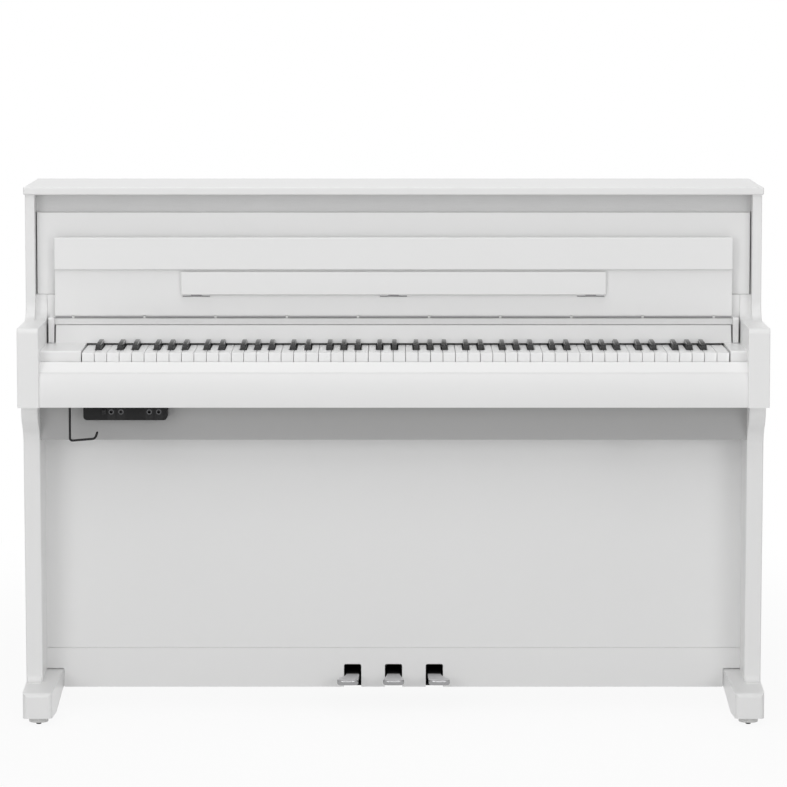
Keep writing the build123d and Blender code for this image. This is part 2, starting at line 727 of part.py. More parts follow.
def circuit_boards():
    """Key sensor board under the keys, main board and power board at the back."""
    sensor = block(frame_x, (sensor_front, sensor_front + SENSOR_DEPTH),
                   (sensor_rail_top, sensor_rail_top + BOARD_THICKNESS))
    main = rear_board(MAIN_BOARD, MAIN_BOARD_INSET - half_width)
    power = rear_board(POWER_BOARD, half_width - POWER_BOARD_INSET)
    return [sensor, main, power]


def inlet_heights():
    """Low and high z of the mains inlet."""
    middle = bed_top + INLET_RISE
    return (middle - INLET_HEIGHT / 2, middle + INLET_HEIGHT / 2)


def power_inlet():
    """Mains inlet in the rear panel: flange, hollow shell and two pins."""
    low, high = inlet_heights()
    wall = INLET_FLANGE / 2
    x = (inlet_x - INLET_WIDTH / 2, inlet_x + INLET_WIDTH / 2)
    flange = block((x[0] - INLET_FLANGE, x[1] + INLET_FLANGE),
                   (rear_panel_back, rear_panel_back + INLET_FLANGE_THICKNESS),
                   (low - INLET_FLANGE, high + INLET_FLANGE))
    shell = block(x, (rear_panel_back - INLET_DEPTH, rear_panel_back), (low, high))
    floor = rear_panel_back + INLET_FLANGE_THICKNESS - INLET_RECESS
    hollow = block((x[0] + wall, x[1] - wall),
                   (floor, rear_panel_back + INLET_FLANGE_THICKNESS + CUT_MARGIN),
                   (low + wall, high - wall))
    body = flange + shell - hollow
    for dx in even(2, INLET_PIN_PITCH):
        body = body + rod_y(inlet_x + dx, (floor, rear_panel_back), (low + high) / 2, INLET_PIN / 2)
    return body


# Key cover, built standing at its hinge axis and then leaned back

def leaned(shape):
    """Place a piece of the open cover: lean it back about the hinge axis."""
    return Pos(0, cover_axis_y, cover_axis_z) * Rot(-COVER_LEAN, 0, 0) * shape


def on_cover(y, u):
    """Place of a point of the open cover: y behind and u above the hinge axis, before the lean."""
    lean = math.radians(COVER_LEAN)
    return (cover_axis_y + y * math.cos(lean) + u * math.sin(lean),
            cover_axis_z - y * math.sin(lean) + u * math.cos(lean))


def knuckle_spans():
    """x spans of the short knuckles: the cover hinge's fixed ones, and the cover's own on the leaf hinge."""
    half = KNUCKLE_WIDTH / 2
    pairs = int((cover_half - KNUCKLE_END_GAP) / KNUCKLE_PITCH + 0.5)
    return [(x - half, x + half) for x in even(2 * pairs, KNUCKLE_PITCH)]


def barrel_spans():
    """x spans between the fixed knuckles, and out to the cover's ends."""
    ends = [-cover_half] + [x for span in knuckle_spans() for x in span] + [cover_half]
    return [(ends[i] + BARREL_PLAY, ends[i + 1] - BARREL_PLAY) for i in range(0, len(ends), 2)]


def cover_hinge():
    """Long pin with the fixed knuckles that stand on the hinge rail's nose."""
    pin = rod_x((-bracket_inner, bracket_inner), cover_axis_y, cover_axis_z, PIN_RADIUS)
    pieces = [pin]
    for span in knuckle_spans():
        pieces.append(rod_x(span, cover_axis_y, cover_axis_z, BARREL_RADIUS))
        pieces.append(block(span, (cover_axis_y, cover_axis_y + BARREL_RADIUS),
                            (nose_top, cover_axis_z)))
    return joined(pieces)


def key_cover():
    """Main board of the cover with the moving barrels of its hinge."""
    board = block((-cover_half, cover_half), (cover_face, -cover_face),
                  (BARREL_RADIUS + BARREL_PLAY, cover_edge))
    board = fillet(board.edges().filter_by(Axis.Y), EDGE_ROUND)
    pieces = [board]
    for span in barrel_spans():
        neck = block(span, (-HINGE_NECK / 2, HINGE_NECK / 2), (0, BARREL_RADIUS + BARREL_PLAY))
        pieces.append(rod_x(span, 0, 0, BARREL_RADIUS) + neck)
    bore = rod_x((-half_width, half_width), 0, 0, PIN_RADIUS + PIN_PLAY)
    return leaned(joined(pieces) - bore)


def leaf_hinge():
    """Pin and knuckles along the cover's upper edge, for its front leaf."""
    pin = rod_x((-cover_half + BARREL_PLAY, cover_half - BARREL_PLAY), leaf_axis, COVER_REACH,
                LEAF_PIN_RADIUS)
    pieces = [pin]
    for span in knuckle_spans():
        neck = block(span, (cover_face, cover_face + HINGE_NECK), (cover_edge, COVER_REACH))
        pieces.append(rod_x(span, leaf_axis, COVER_REACH, LEAF_BARREL_RADIUS) + neck)
    return leaned(joined(pieces))


def cover_front_leaf():
    """Front leaf of the cover, folded down over its face: a lip hides its own knuckles from the front."""
    points = [
        (leaf_front, COVER_REACH - LEAF_LENGTH), (leaf_front, leaf_lip_top), (leaf_lip_back, leaf_lip_top),
        (leaf_lip_back, cover_edge), (leaf_back, cover_edge), (leaf_back, COVER_REACH - LEAF_LENGTH),
    ]
    board = along_x(points, (-cover_half, cover_half), [EDGE_ROUND, LEAF_LIP_ROUND, 0, 0, 0, 0])
    pieces = [board]
    for span in barrel_spans():
        neck = block(span, (leaf_back - HINGE_NECK, leaf_back), (cover_edge - EDGE_ROUND, COVER_REACH))
        pieces.append(rod_x(span, leaf_axis, COVER_REACH, LEAF_BARREL_RADIUS) + neck)
    bore = rod_x((-half_width, half_width), leaf_axis, COVER_REACH, LEAF_PIN_RADIUS + PIN_PLAY)
    return leaned(joined(pieces) - bore)


def rest_hinges():
    """Three small hinges on the cover's face: plate, middle knuckle and pin."""
    hinges = []
    half = REST_KNUCKLE_WIDTH / 2
    plate_top = rest_rise - REST_BARREL_RADIUS - REST_BARREL_GAP
    for x in even(REST_HINGE_COUNT, REST_HINGE_PITCH):
        wide = (x - REST_HINGE_WIDTH / 2, x + REST_HINGE_WIDTH / 2)
        plate = block(wide, (cover_face - REST_PLATE_THICKNESS, cover_face),
                      (plate_top - REST_PLATE_HEIGHT, plate_top))
        web = block((x - half, x + half), (rest_axis, cover_face),
                    (plate_top - JOIN_OVERLAP, rest_rise))
        knuckle = rod_x((x - half, x + half), rest_axis, rest_rise, REST_BARREL_RADIUS)
        pin = rod_x(wide, rest_axis, rest_rise, REST_PIN_RADIUS)
        hinges.append(leaned(joined([plate, web, knuckle, pin])))
    return hinges


def music_rest():
    """Flap that folds down to hold sheet music, with its hinge knuckles."""
    board = block((-REST_LENGTH / 2, REST_LENGTH / 2), (leaf_back - REST_THICKNESS, leaf_back),
                  (rest_bottom, rest_bottom + REST_HEIGHT))
    board = chamfer(board.faces().sort_by(Axis.Y)[0].edges(), FLAP_CHAMFER)
    pieces = [board]
    inner = REST_KNUCKLE_WIDTH / 2 + BARREL_PLAY
    outer = REST_HINGE_WIDTH / 2
    for x in even(REST_HINGE_COUNT, REST_HINGE_PITCH):
        for span in ((x - outer, x - inner), (x + inner, x + outer)):
            neck = block(span, (rest_axis - HINGE_NECK / 2, rest_axis + HINGE_NECK / 2),
                         (rest_rise, rest_bottom + JOIN_OVERLAP))
            pieces.append(rod_x(span, rest_axis, rest_rise, REST_BARREL_RADIUS) + neck)
    bore = rod_x((-half_width, half_width), rest_axis, rest_rise, REST_PIN_RADIUS + PIN_PLAY)
    return leaned(joined(pieces) - bore)


# Legs, feet and glides

def leg():
    """Right leg board: its front edge sweeps back under the key bed and forward again onto the foot."""
    top = (front + LEG_TOP_SETBACK, bed_underside)
    start = (top[0], bed_underside - LEG_CURVE_START)
    knee = (front + LEG_KNEE_SETBACK, start[1] - LEG_CURVE_HEIGHT)
    foot = (front + LEG_FOOT_SETBACK, leg_foot_z)
    slope = (foot[0] - knee[0]) / (knee[1] - foot[1])
    pull = LEG_CURVE_HEIGHT / 2
    sweep_back = Bezier(start, (start[0], start[1] - pull),
                        (knee[0] - slope * pull, knee[1] + pull), knee)
    rim = Line(top, start) + sweep_back + Polyline(
        knee, foot, (rail_front, FOOT_TOP), (rear_panel_front, FOOT_TOP),
        (rear_panel_front, bed_underside), top)
    board = Pos(leg_inner, 0, 0) * extrude(Plane.YZ * make_face(rim), amount=LEG_THICKNESS)
    reach = front + LEG_FOOT_SETBACK
    shown = [e for e in board.edges() if e.center().Y < reach and abs(e.tangent_at(0.5).X) < 0.5]
    return fillet(shown, LEG_ROUND) + leg_cove(foot)


def leg_cove(foot):
    """Hollow sweep from the leg's front down to the foot's sloping top."""
    y, z = foot
    toe = y - LEG_COVE
    inset = LEG_COVE * (1 - math.sqrt(0.5))
    inside = y + JOIN_OVERLAP
    hollow = ThreePointArc((y, z + LEG_COVE), (y - inset, z + inset), (toe, z))
    rim = hollow + Polyline((toe, z), (toe, z - foot_slope * LEG_COVE),
                            (inside, z + foot_slope * JOIN_OVERLAP), (inside, z + LEG_COVE),
                            (y, z + LEG_COVE))
    low = leg_inner + LEG_ROUND
    return Pos(low, 0, 0) * extrude(Plane.YZ * make_face(rim), amount=LEG_THICKNESS - 2 * LEG_ROUND)


def foot():
    """Right foot: long block, wider and higher at the pedal rail, arched between its two glides."""
    toe = front + FOOT_SETBACK
    heel = rear_panel_front
    pad = 2 * GLIDE_INSET
    points = [
        (toe, GLIDE_HEIGHT), (toe, FOOT_NOSE_TOP), (rail_front, FOOT_TOP), (heel, FOOT_TOP),
        (heel, GLIDE_HEIGHT), (heel - pad, GLIDE_HEIGHT), (rail_front, GLIDE_HEIGHT + FOOT_ARCH),
        (toe + pad, GLIDE_HEIGHT),
    ]
    arch = FOOT_ARCH_ROUND
    body = along_x(points, (foot_flared, half_width), [0, FOOT_NOSE_RADIUS, 0, 0, 0, arch, arch, arch])
    corners = [(half_width, toe), (half_width, heel), (foot_flared, heel), (foot_flared, rail_front),
               (foot_inner, toe)]
    plan = extrude(outline(corners, [FOOT_ROUND, 0, 0, 0, FOOT_ROUND]), amount=FOOT_TOP - GLIDE_HEIGHT)
    return body & (Pos(0, 0, GLIDE_HEIGHT) * plan)


def glide_places():
    """(x, y) of the four glides."""
    x = half_width - FOOT_WIDTH / 2
    ys = (front + FOOT_SETBACK + GLIDE_INSET, rear_panel_front - GLIDE_INSET)
    return [(sign * x, y) for sign in (-1, 1) for y in ys]


def glide_pads():
    """Stepped round pads under the feet."""
    pads = []
    step_bottom = GLIDE_TIP_HEIGHT
    step_top = step_bottom + GLIDE_STEP
    for x, y in glide_places():
        upper = Pos(x, y, (step_top + GLIDE_HEIGHT) / 2) * Cylinder(
            GLIDE_PAD_RADIUS, GLIDE_HEIGHT - step_top)
        lower = Pos(x, y, (step_bottom + step_top) / 2) * Cylinder(GLIDE_STEP_RADIUS, GLIDE_STEP)
        pads.append(upper + lower)
    return pads


def glide_tips():
    """Small tips that the piano stands on."""
    return [Pos(x, y, GLIDE_TIP_HEIGHT / 2) * Cylinder(GLIDE_TIP_RADIUS, GLIDE_TIP_HEIGHT)
            for x, y in glide_places()]


# Lower front and pedals

def lower_panel():
    """Board between the legs, from the pedal rail up to the key bed."""
    y = front + LOWER_SETBACK
    return block((-leg_inner, leg_inner), (y, y + LOWER_THICKNESS), (RAIL_TOP, bed_underside))


def pedal_rail():
    """Board with three pedal slots, notched around the feet and rebated along its upper edge."""
    notch_x = foot_flared - RAIL_FOOT_GAP
    notch_z = FOOT_TOP + RAIL_FOOT_GAP
    points = [
        (-leg_inner, RAIL_TOP), (leg_inner, RAIL_TOP), (leg_inner, notch_z), (notch_x, notch_z),
        (notch_x, RAIL_BOTTOM), (-notch_x, RAIL_BOTTOM), (-notch_x, notch_z), (-leg_inner, notch_z),
    ]
    r = RAIL_NOTCH_RADIUS
    rail = along_y(points, (rail_front, rail_back), [0, 0, 0, r, 0, 0, r, 0])
    rail = rail - block((-half_width, half_width), (rail_front - CUT_MARGIN, rail_front + RAIL_REBATE_DEPTH),
                        (RAIL_TOP - RAIL_REBATE, RAIL_TOP + CUT_MARGIN))
    half = PEDAL_SLOT_WIDTH / 2
    for x in even(3, PEDAL_PITCH):
        low = RAIL_BOTTOM - CUT_MARGIN
        slot = [(x - half, low), (x - half, PEDAL_SLOT_TOP),
                (x + half, PEDAL_SLOT_TOP), (x + half, low)]
        rail = rail - along_y(slot, (rail_front - CUT_MARGIN, rail_back + CUT_MARGIN),
                              [0, PEDAL_SLOT_RADIUS, PEDAL_SLOT_RADIUS, 0])
    return rail


def pedal(x, splay):
    """Pedal: flared head bent outward by splay and drooping to its tip, thin arm, barrel on the pivot rod."""
    tip = front + PEDAL_TIP_SETBACK
    shoulder = tip + PEDAL_TIP_BULGE
    neck = tip + PEDAL_HEAD_LENGTH
    half = PEDAL_HEAD_WIDTH / 2
    arm_half = PEDAL_ARM_WIDTH / 2
    pull = PEDAL_HEAD_LENGTH / 3
    head_x = x + splay
    left = Bezier((x - arm_half, neck), (x - arm_half, neck - pull),
                  (head_x - half, shoulder + pull), (head_x - half, shoulder))
    nose = ThreePointArc((head_x - half, shoulder), (head_x, tip), (head_x + half, shoulder))
    right = Bezier((head_x + half, shoulder), (head_x + half, shoulder + pull),
                   (x + arm_half, neck - pull), (x + arm_half, neck))
    tail = pedal_pivot_y + PEDAL_TAIL
    end = Polyline((x + arm_half, neck), (x + arm_half, tail), (x - arm_half, tail), (x - arm_half, neck))
    tip_top = PEDAL_TOP - PEDAL_DROOP
    tip_bottom = tip_top - PEDAL_THICKNESS
    arm_bottom = PEDAL_TOP - PEDAL_ARM_THICKNESS
    side = [(tip - CUT_MARGIN, tip_top), (neck, PEDAL_TOP), (tail + CUT_MARGIN, PEDAL_TOP),
            (tail + CUT_MARGIN, arm_bottom), (neck, arm_bottom), (tip - CUT_MARGIN, tip_bottom)]
    plan = extrude(make_face(left + nose + right + end), amount=PEDAL_TOP - tip_bottom)
    silhouette = along_x(side, (x - 2 * half, x + 2 * half), [0, PEDAL_DROOP_RADIUS, 0, 0, 0, 0])
    plate = (Pos(0, 0, tip_bottom) * plan) & silhouette
    upper = [edge for face in plate.faces() if face.normal_at().Z > ALONG_AXIS for edge in face.edges()]
    rim = [e for e in upper if e.geom_type != GeomType.LINE or abs((e % 0.5).X) < ALONG_AXIS]
    plate = fillet(rim, PEDAL_ROUND)
    barrel = rod_x((x - arm_half, x + arm_half), pedal_pivot_y, pedal_pivot_z, PEDAL_BARREL_RADIUS)
    bore = rod_x((x - half, x + half), pedal_pivot_y, pedal_pivot_z, PEDAL_ROD_RADIUS + PIN_PLAY)
    return plate + barrel - bore


def pedal_box():
    """Box behind the pedal rail, open in front, where the rail's slots are."""
    half = PEDAL_BOX_WIDTH / 2
    rear = rail_back + PEDAL_BOX_DEPTH
    outer = block((-half, half), (rail_back, rear), (RAIL_BOTTOM, PEDAL_BOX_TOP))
    inner = block((-half + PEDAL_BOX_WALL, half - PEDAL_BOX_WALL),
                  (rail_back - CUT_MARGIN, rear - PEDAL_BOX_WALL),
                  (RAIL_BOTTOM + PEDAL_BOX_FLOOR, PEDAL_BOX_TOP - PEDAL_BOX_WALL))
    return outer - inner


def pedal_rod():
    """Pivot rod between the pedal box's side walls."""
    half = PEDAL_BOX_WIDTH / 2 - PEDAL_BOX_WALL
    return rod_x((-half, half), pedal_pivot_y, pedal_pivot_z, PEDAL_ROD_RADIUS)


def pedal_springs():
    """Torsion springs round the pivot rod, each with a leg up to the box's top."""
    springs = []
    length = SPRING_PITCH * SPRING_TURNS
    leg_low = pedal_pivot_z + SPRING_RADIUS - SPRING_WIRE
    leg_high = PEDAL_BOX_TOP - PEDAL_BOX_WALL
    for x in even(3, PEDAL_PITCH):
        start = x + PEDAL_ARM_WIDTH / 2 + SPRING_GAP
        path = Helix(SPRING_PITCH, length, SPRING_RADIUS)
        section = Plane(path @ 0, z_dir=path % 0) * Circle(SPRING_WIRE / 2)
        coil = Pos(start, pedal_pivot_y, pedal_pivot_z) * Rot(0, 90, 0) * sweep(section, path)
        stem_x = start + length - SPRING_WIRE / 4
        stem = Pos(stem_x, pedal_pivot_y, (leg_low + leg_high) / 2) * Cylinder(
            SPRING_WIRE / 2, leg_high - leg_low)
        springs.append(coil + stem)
    return springs


# Under the key bed

def woofer_places():
    """x of the two woofers."""
    x = leg_inner - WOOFER_INSET
    return [-x, x]


def speaker_box():
    """Open-topped box under the key bed, with a hole under each woofer."""
    half = leg_inner
    low = bed_underside - SPEAKER_HEIGHT
    y = (front + SPEAKER_SETBACK, front + LOWER_SETBACK)
    outer = block((-half, half), y, (low, bed_underside))
    inner = block((-half + SPEAKER_WALL, half - SPEAKER_WALL), (y[0] + SPEAKER_WALL, y[1] - SPEAKER_WALL),
                  (low + SPEAKER_WALL, bed_underside + CUT_MARGIN))
    holes = [Pos(x, (y[0] + y[1]) / 2, low) * Cylinder(WOOFER_HOLE, 2 * (SPEAKER_WALL + CUT_MARGIN))
             for x in woofer_places()]
    return outer - inner - holes


def woofer(x):
    """Loudspeaker facing down: flange, cone and magnet in one turned form."""
    y = front + (SPEAKER_SETBACK + LOWER_SETBACK) / 2
    low = bed_underside - SPEAKER_HEIGHT + SPEAKER_WALL
    points = [
        (0, WOOFER_DEPTH / 2), (WOOFER_HOLE - WOOFER_FLANGE, 0), (WOOFER_RADIUS, 0),
        (WOOFER_RADIUS, WOOFER_FLANGE), (WOOFER_MAGNET, WOOFER_DEPTH / 2 + WOOFER_FLANGE),
        (WOOFER_MAGNET, WOOFER_DEPTH), (0, WOOFER_DEPTH),
    ]
    form = revolve(Plane.XZ * outline(points), Axis.Z)
    return Pos(x, y, low) * form


def woofer_guard(x):
    """Cup in a woofer's hole: its face is flush with the box's underside, its rim meets the woofer."""
    y = front + (SPEAKER_SETBACK + LOWER_SETBACK) / 2
    low = bed_underside - SPEAKER_HEIGHT
    radius = WOOFER_HOLE - GUARD_PLAY
    middle = low + SPEAKER_WALL / 2
    cup = Pos(x, y, middle) * Cylinder(radius, SPEAKER_WALL)
    return cup - Pos(x, y, middle + WOOFER_GUARD) * Cylinder(radius - WOOFER_GUARD, SPEAKER_WALL)


def tweeter(x):
    """Small loudspeaker on the back of the grille."""
    y = grille_front + GRILLE_THICKNESS
    middle = (panel_top + lid_bottom) / 2
    half = TWEETER_SIZE / 2
    case = block((x - half, x + half), (y, y + TWEETER_DEPTH), (middle - half, middle + half))
    mouth = rod_y(x, (y - CUT_MARGIN, y + TWEETER_DEPTH / 2), middle, half - WOOFER_FLANGE)
    return case - mouth


def speakers():
    """Two woofers in the speaker box, their guards, and two tweeters behind the grille."""
    low = [form(x) for x in woofer_places() for form in (woofer, woofer_guard)]
    x = side_inner - TWEETER_INSET
    return low + [tweeter(-x), tweeter(x)]


def socket_span(place):
    """Low and high x of the socket block at a place along the jack box."""
    middle = jack_left + place
    return (middle - JACK_BLOCK_WIDTH / 2, middle + JACK_BLOCK_WIDTH / 2)


def jack_box():
    """Box under the key bed with the sockets and the power button in its front."""
    x = (jack_left, jack_left + JACK_BOX_LENGTH)
    box = block(x, (jack_front, jack_front + JACK_BOX_DEPTH), (jack_bottom, bed_underside))
    lower = box.edges().filter_by(Axis.Y).sort_by(Axis.Z)[:2]
    box = fillet(lower, JACK_BOX_ROUND)
    for place in JACK_PLACES:
        box = box - block(socket_span(place), (jack_front - CUT_MARGIN, jack_front + JACK_DEPTH),
                          (jack_bottom - CUT_MARGIN, jack_bottom + JACK_BLOCK_HEIGHT))
    half = BUTTON_WIDTH / 2 + BUTTON_PLAY
    middle = x[0] + BUTTON_PLACE
    deep = jack_front + BUTTON_LENGTH - BUTTON_PROUD + BUTTON_TRAVEL + BUTTON_PLAY
    well = block((middle - half, middle + half), (jack_front - CUT_MARGIN, deep),
                 (jack_axis_z - half, jack_axis_z + half))
    return box - well


def jack_sockets():
    """Socket blocks in slots that are open under the jack box, each with a round collar and a blind bore."""
    sockets = []
    for place in JACK_PLACES:
        x = jack_left + place
        body = block(socket_span(place), (jack_front, jack_front + JACK_DEPTH),
                     (jack_bottom, jack_bottom + JACK_BLOCK_HEIGHT))
        collar = rod_y(x, (jack_front - JACK_PROUD, jack_front + JACK_PROUD), jack_axis_z, JACK_SLEEVE)
        bore = rod_y(x, (jack_front - JACK_PROUD - CUT_MARGIN, jack_front + JACK_DEPTH - JACK_PROUD),
                     jack_axis_z, JACK_BORE)
        sockets.append(body + collar - bore)
    return sockets


def power_button():
    """Square push button in the jack box."""
    half = BUTTON_WIDTH / 2
    middle = jack_left + BUTTON_PLACE
    button = block((middle - half, middle + half),
                   (jack_front - BUTTON_PROUD, jack_front - BUTTON_PROUD + BUTTON_LENGTH),
                   (jack_axis_z - half, jack_axis_z + half))
    return chamfer(button.faces().sort_by(Axis.Y)[0].edges(), KEY_CHAMFER)


def headphone_hook():
    """Bent wire hook on a small plate under the key bed."""
    y = front + HOOK_SETBACK
    plate_bottom = bed_underside - HOOK_PLATE_THICKNESS
    low = bed_underside - HOOK_DROP
    right = hook_left + HOOK_REACH
    path = FilletPolyline((hook_left, y, plate_bottom), (hook_left, y, low), (right, y, low + HOOK_RISE),
                          (right + HOOK_LEAN, y, low + HOOK_RISE + HOOK_TIP), radius=HOOK_BEND)
    section = Plane(path @ 0, z_dir=path % 0) * Circle(HOOK_WIRE / 2)
    wire = sweep(section, path)
    plate = block((hook_left - HOOK_PLATE / 2, hook_left + HOOK_PLATE / 2),
                  (y - HOOK_PLATE / 2, y + HOOK_PLATE / 2), (plate_bottom, bed_underside))
    return wire + plate


def nodes():
    """Node name to its solid, or to its list of solids."""
    right_side, right_arm, right_leg, right_foot = side_panel(), arm(), leg(), foot()
    left_block = (-arm_inner, keyboard_left - KEYBOARD_END_GAP)
    right_block = (keyboard_right + KEYBOARD_END_GAP, arm_inner)
    table = {
        "side_panel_left": other_side(right_side), "side_panel_right": right_side,
        "arm_left": other_side(right_arm), "arm_right": right_arm,
        "top_lid": top_lid(), "upper_panel": upper_panel(), "speaker_grille": speaker_grille(),
        "back_panel": back_panel(), "assembly_screws": assembly_screws(),
        "key_bed": key_bed(), "key_slip": key_slip(),
        "key_block_left": key_block(left_block), "key_block_right": key_block(right_block),
        "nameboard": nameboard(), "hinge_rail": hinge_rail(), "cover_brackets": cover_brackets(),
        "key_frame": key_frame(), "balance_rail": balance_rail(), "felt_strips": felt_strips(),
        "rubber_contacts": rubber_contacts(), "circuit_boards": circuit_boards(),
        "power_inlet": power_inlet(), "cover_hinge": cover_hinge(), "key_cover": key_cover(),
        "leaf_hinge": leaf_hinge(), "cover_front_leaf": cover_front_leaf(),
        "rest_hinges": rest_hinges(), "music_rest": music_rest(),
        "leg_left": other_side(right_leg), "leg_right": right_leg,
        "foot_left": other_side(right_foot), "foot_right": right_foot,
        "glide_pads": glide_pads(), "glide_tips": glide_tips(),
        "lower_panel": lower_panel(), "pedal_rail": pedal_rail(), "pedal_box": pedal_box(),
        "pedal_rod": pedal_rod(), "pedal_springs": pedal_springs(),
        "pedal_left": pedal(-PEDAL_PITCH, -PEDAL_SPLAY), "pedal_middle": pedal(0, 0),
        "pedal_right": pedal(PEDAL_PITCH, PEDAL_SPLAY),
        "speaker_box": speaker_box(), "speakers": speakers(), "jack_box": jack_box(),
        "jack_sockets": jack_sockets(), "power_button": power_button(),
        "headphone_hook": headphone_hook(),
    }
    table.update(keys())
    return table


def as_shape(piece):
    """One solid as it is, several as a compound of separate solids."""
    if isinstance(piece, list):
        return Compound(children=[solid for part in piece for solid in part.solids()])
    return piece


os.makedirs("parts", exist_ok=True)
for name, piece in nodes().items():
    export_step(as_shape(piece), f"parts/{name}.step")

print("key pivot", key_pivot, pivot_height)
print("cover axis", cover_axis_y, cover_axis_z)
print("leaf axis", on_cover(leaf_axis, COVER_REACH))
print("rest axis", on_cover(rest_axis, rest_rise))
print("pedal axis", pedal_pivot_y, pedal_pivot_z)
closing = 90 + COVER_DROP + COVER_LEAN
unfolding = closing + LEAF_SLOPE - COVER_LEAN
print("cover closes", closing, "leaf unfolds", unfolding, "ratio", unfolding / closing)
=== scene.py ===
"""A white upright-cabinet digital piano: finishes and fine pieces round its packed construction."""

import json
import math

import bpy
import numpy as np
from bpy.props import FloatProperty, FloatVectorProperty, PointerProperty
from bpy.types import Operator, Panel, PropertyGroup
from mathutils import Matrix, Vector


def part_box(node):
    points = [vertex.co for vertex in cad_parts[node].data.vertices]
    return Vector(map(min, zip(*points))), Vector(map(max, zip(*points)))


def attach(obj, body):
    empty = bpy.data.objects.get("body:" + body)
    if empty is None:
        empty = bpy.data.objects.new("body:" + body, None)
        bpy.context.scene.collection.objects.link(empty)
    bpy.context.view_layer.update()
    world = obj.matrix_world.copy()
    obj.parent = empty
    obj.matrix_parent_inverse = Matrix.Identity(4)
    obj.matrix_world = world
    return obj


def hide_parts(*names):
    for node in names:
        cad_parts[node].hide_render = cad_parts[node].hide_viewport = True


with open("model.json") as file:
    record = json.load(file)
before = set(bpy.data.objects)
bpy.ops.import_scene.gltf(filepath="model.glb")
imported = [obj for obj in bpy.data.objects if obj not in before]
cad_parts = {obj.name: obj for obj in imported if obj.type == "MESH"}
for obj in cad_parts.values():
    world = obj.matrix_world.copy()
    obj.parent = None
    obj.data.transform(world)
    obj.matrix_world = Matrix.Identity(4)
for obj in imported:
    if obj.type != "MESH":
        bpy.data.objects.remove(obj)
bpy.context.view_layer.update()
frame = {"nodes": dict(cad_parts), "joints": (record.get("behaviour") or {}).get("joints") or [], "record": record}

bl_info = {
    "name": "White Digital Piano",
    "version": (1, 0, 0),
    "blender": (4, 5, 0),
    "location": "3D View > Sidebar > Piano",
    "description": "Dresses the packed piano with its finishes and fine pieces",
    "category": "Object",
}

MM = 0.001


def joint_place(name):
    """Point on a joint's axis, in metres."""
    return next(joint["pos_m"] for joint in frame["joints"] if joint["name"] == name)


# Keyboard: a key's step is counted from C within its octave
KEY_COUNT = 88
WHITE_COUNT = 52
OCTAVE = 12
WHITE_STEPS = np.array([0, 2, 4, 5, 7, 9, 11])
F_STEP = 5
LOWEST_STEP = 9
SINGLE_KEYS = {
    39: "key_c4", 40: "key_c_sharp_4", 41: "key_d4", 42: "key_d_sharp_4",
    43: "key_e4", 44: "key_f4", 45: "key_f_sharp_4", 46: "key_g4",
}
KEY_GAP = 1.0 * MM
WHITE_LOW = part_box("white_keys_bass")[0]
WHITE_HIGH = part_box("white_keys_treble")[1]
BLACK_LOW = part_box("black_keys_bass")[0]
BLACK_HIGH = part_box("black_keys_treble")[1]
KEYBOARD_LEFT = WHITE_LOW.x - KEY_GAP / 2
KEYBOARD_RIGHT = WHITE_HIGH.x + KEY_GAP / 2
WHITE_PITCH = (KEYBOARD_RIGHT - KEYBOARD_LEFT) / WHITE_COUNT
NOTCH_GAP = 1.5 * MM           # white key's shoulder before the black key's front
BLACK_WIDTH = 11.0 * MM
BLACK_LENGTH = 96.0 * MM
STICK_DROP = 1.0 * MM          # black key's hidden stick under the white key tops
KEY_PIVOT = joint_place("key_c4_press")[1]
PIVOT_NOTCH = 3.0 * MM         # V-shaped notch over the balance rail
PIVOT_NOTCH_HALF = 3.84 * MM
KEY_FRONT = WHITE_LOW.y
PIVOT_SECTIONS = KEY_PIVOT + PIVOT_NOTCH_HALF * np.array([-1, 0, 1])
TOE_LEAN = 0.3 * MM            # black key's front, up to just over the white keys
TOE_RISE = 0.5 * MM
CROWN_SHARE = 0.6              # height of the rounding over a black key's brow, to its depth

# Felts, from the felt strips' box: the name felt lies highest and the rail felt lowest
FELT_LOW, FELT_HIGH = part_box("felt_strips")
NAME_FELT_INSET = 4.0 * MM
NAME_FELT_DEPTH = 11.0 * MM
NAME_FELT_HEIGHT = 2.6 * MM
NAME_FELT_EDGE = 1.0 * MM
NAME_FELT_CORNER = 1.6 * MM
RAIL_FELT_DEPTH = 22.0 * MM
RAIL_FELT_HEIGHT = 5.0 * MM
RAIL_FELT_EDGE = 1.5 * MM
RAIL_FELT_CORNER = 2.2 * MM

# Speaker cloth
CLOTH_EDGE = 1.2 * MM
CLOTH_CORNER = 2.0 * MM

# Pedals
PEDAL_BULGE = 9.0 * MM         # tip to the widest place
PEDAL_HEAD = 58.0 * MM         # tip to the neck
PEDAL_HEAD_HALF = 20.5 * MM
PEDAL_ARM_HALF = 13.0 * MM
PEDAL_SPLAY = 9.0 * MM
PEDAL_THICKNESS = 12.0 * MM    # at the tip
PEDAL_ARM_THICKNESS = 5.0 * MM
PEDAL_DROOP = 1.5 * MM         # how far the tip lies below the arm
PEDAL_DROOP_POWER = 1.4
PEDAL_SECTION_POWER = 6
PEDAL_TIP_SHARE = 0.05         # least square of a section's share of the thickness
PEDAL_BARREL = 8.0 * MM        # outer radius round the pivot rod
PEDAL_BORE = 4.1 * MM
BARREL_STEPS = 41              # sections round the barrel, the last one on the first
PEDAL_LAP = 1.5 * MM           # how far arm and tail reach into the barrel
PEDAL_TAIL = 18.0 * MM
PEDAL_TAIL_EDGE = 1.5 * MM
PEDAL_TAIL_CORNER = 2.2 * MM
PEDAL_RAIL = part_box("pedal_rail")[0].y

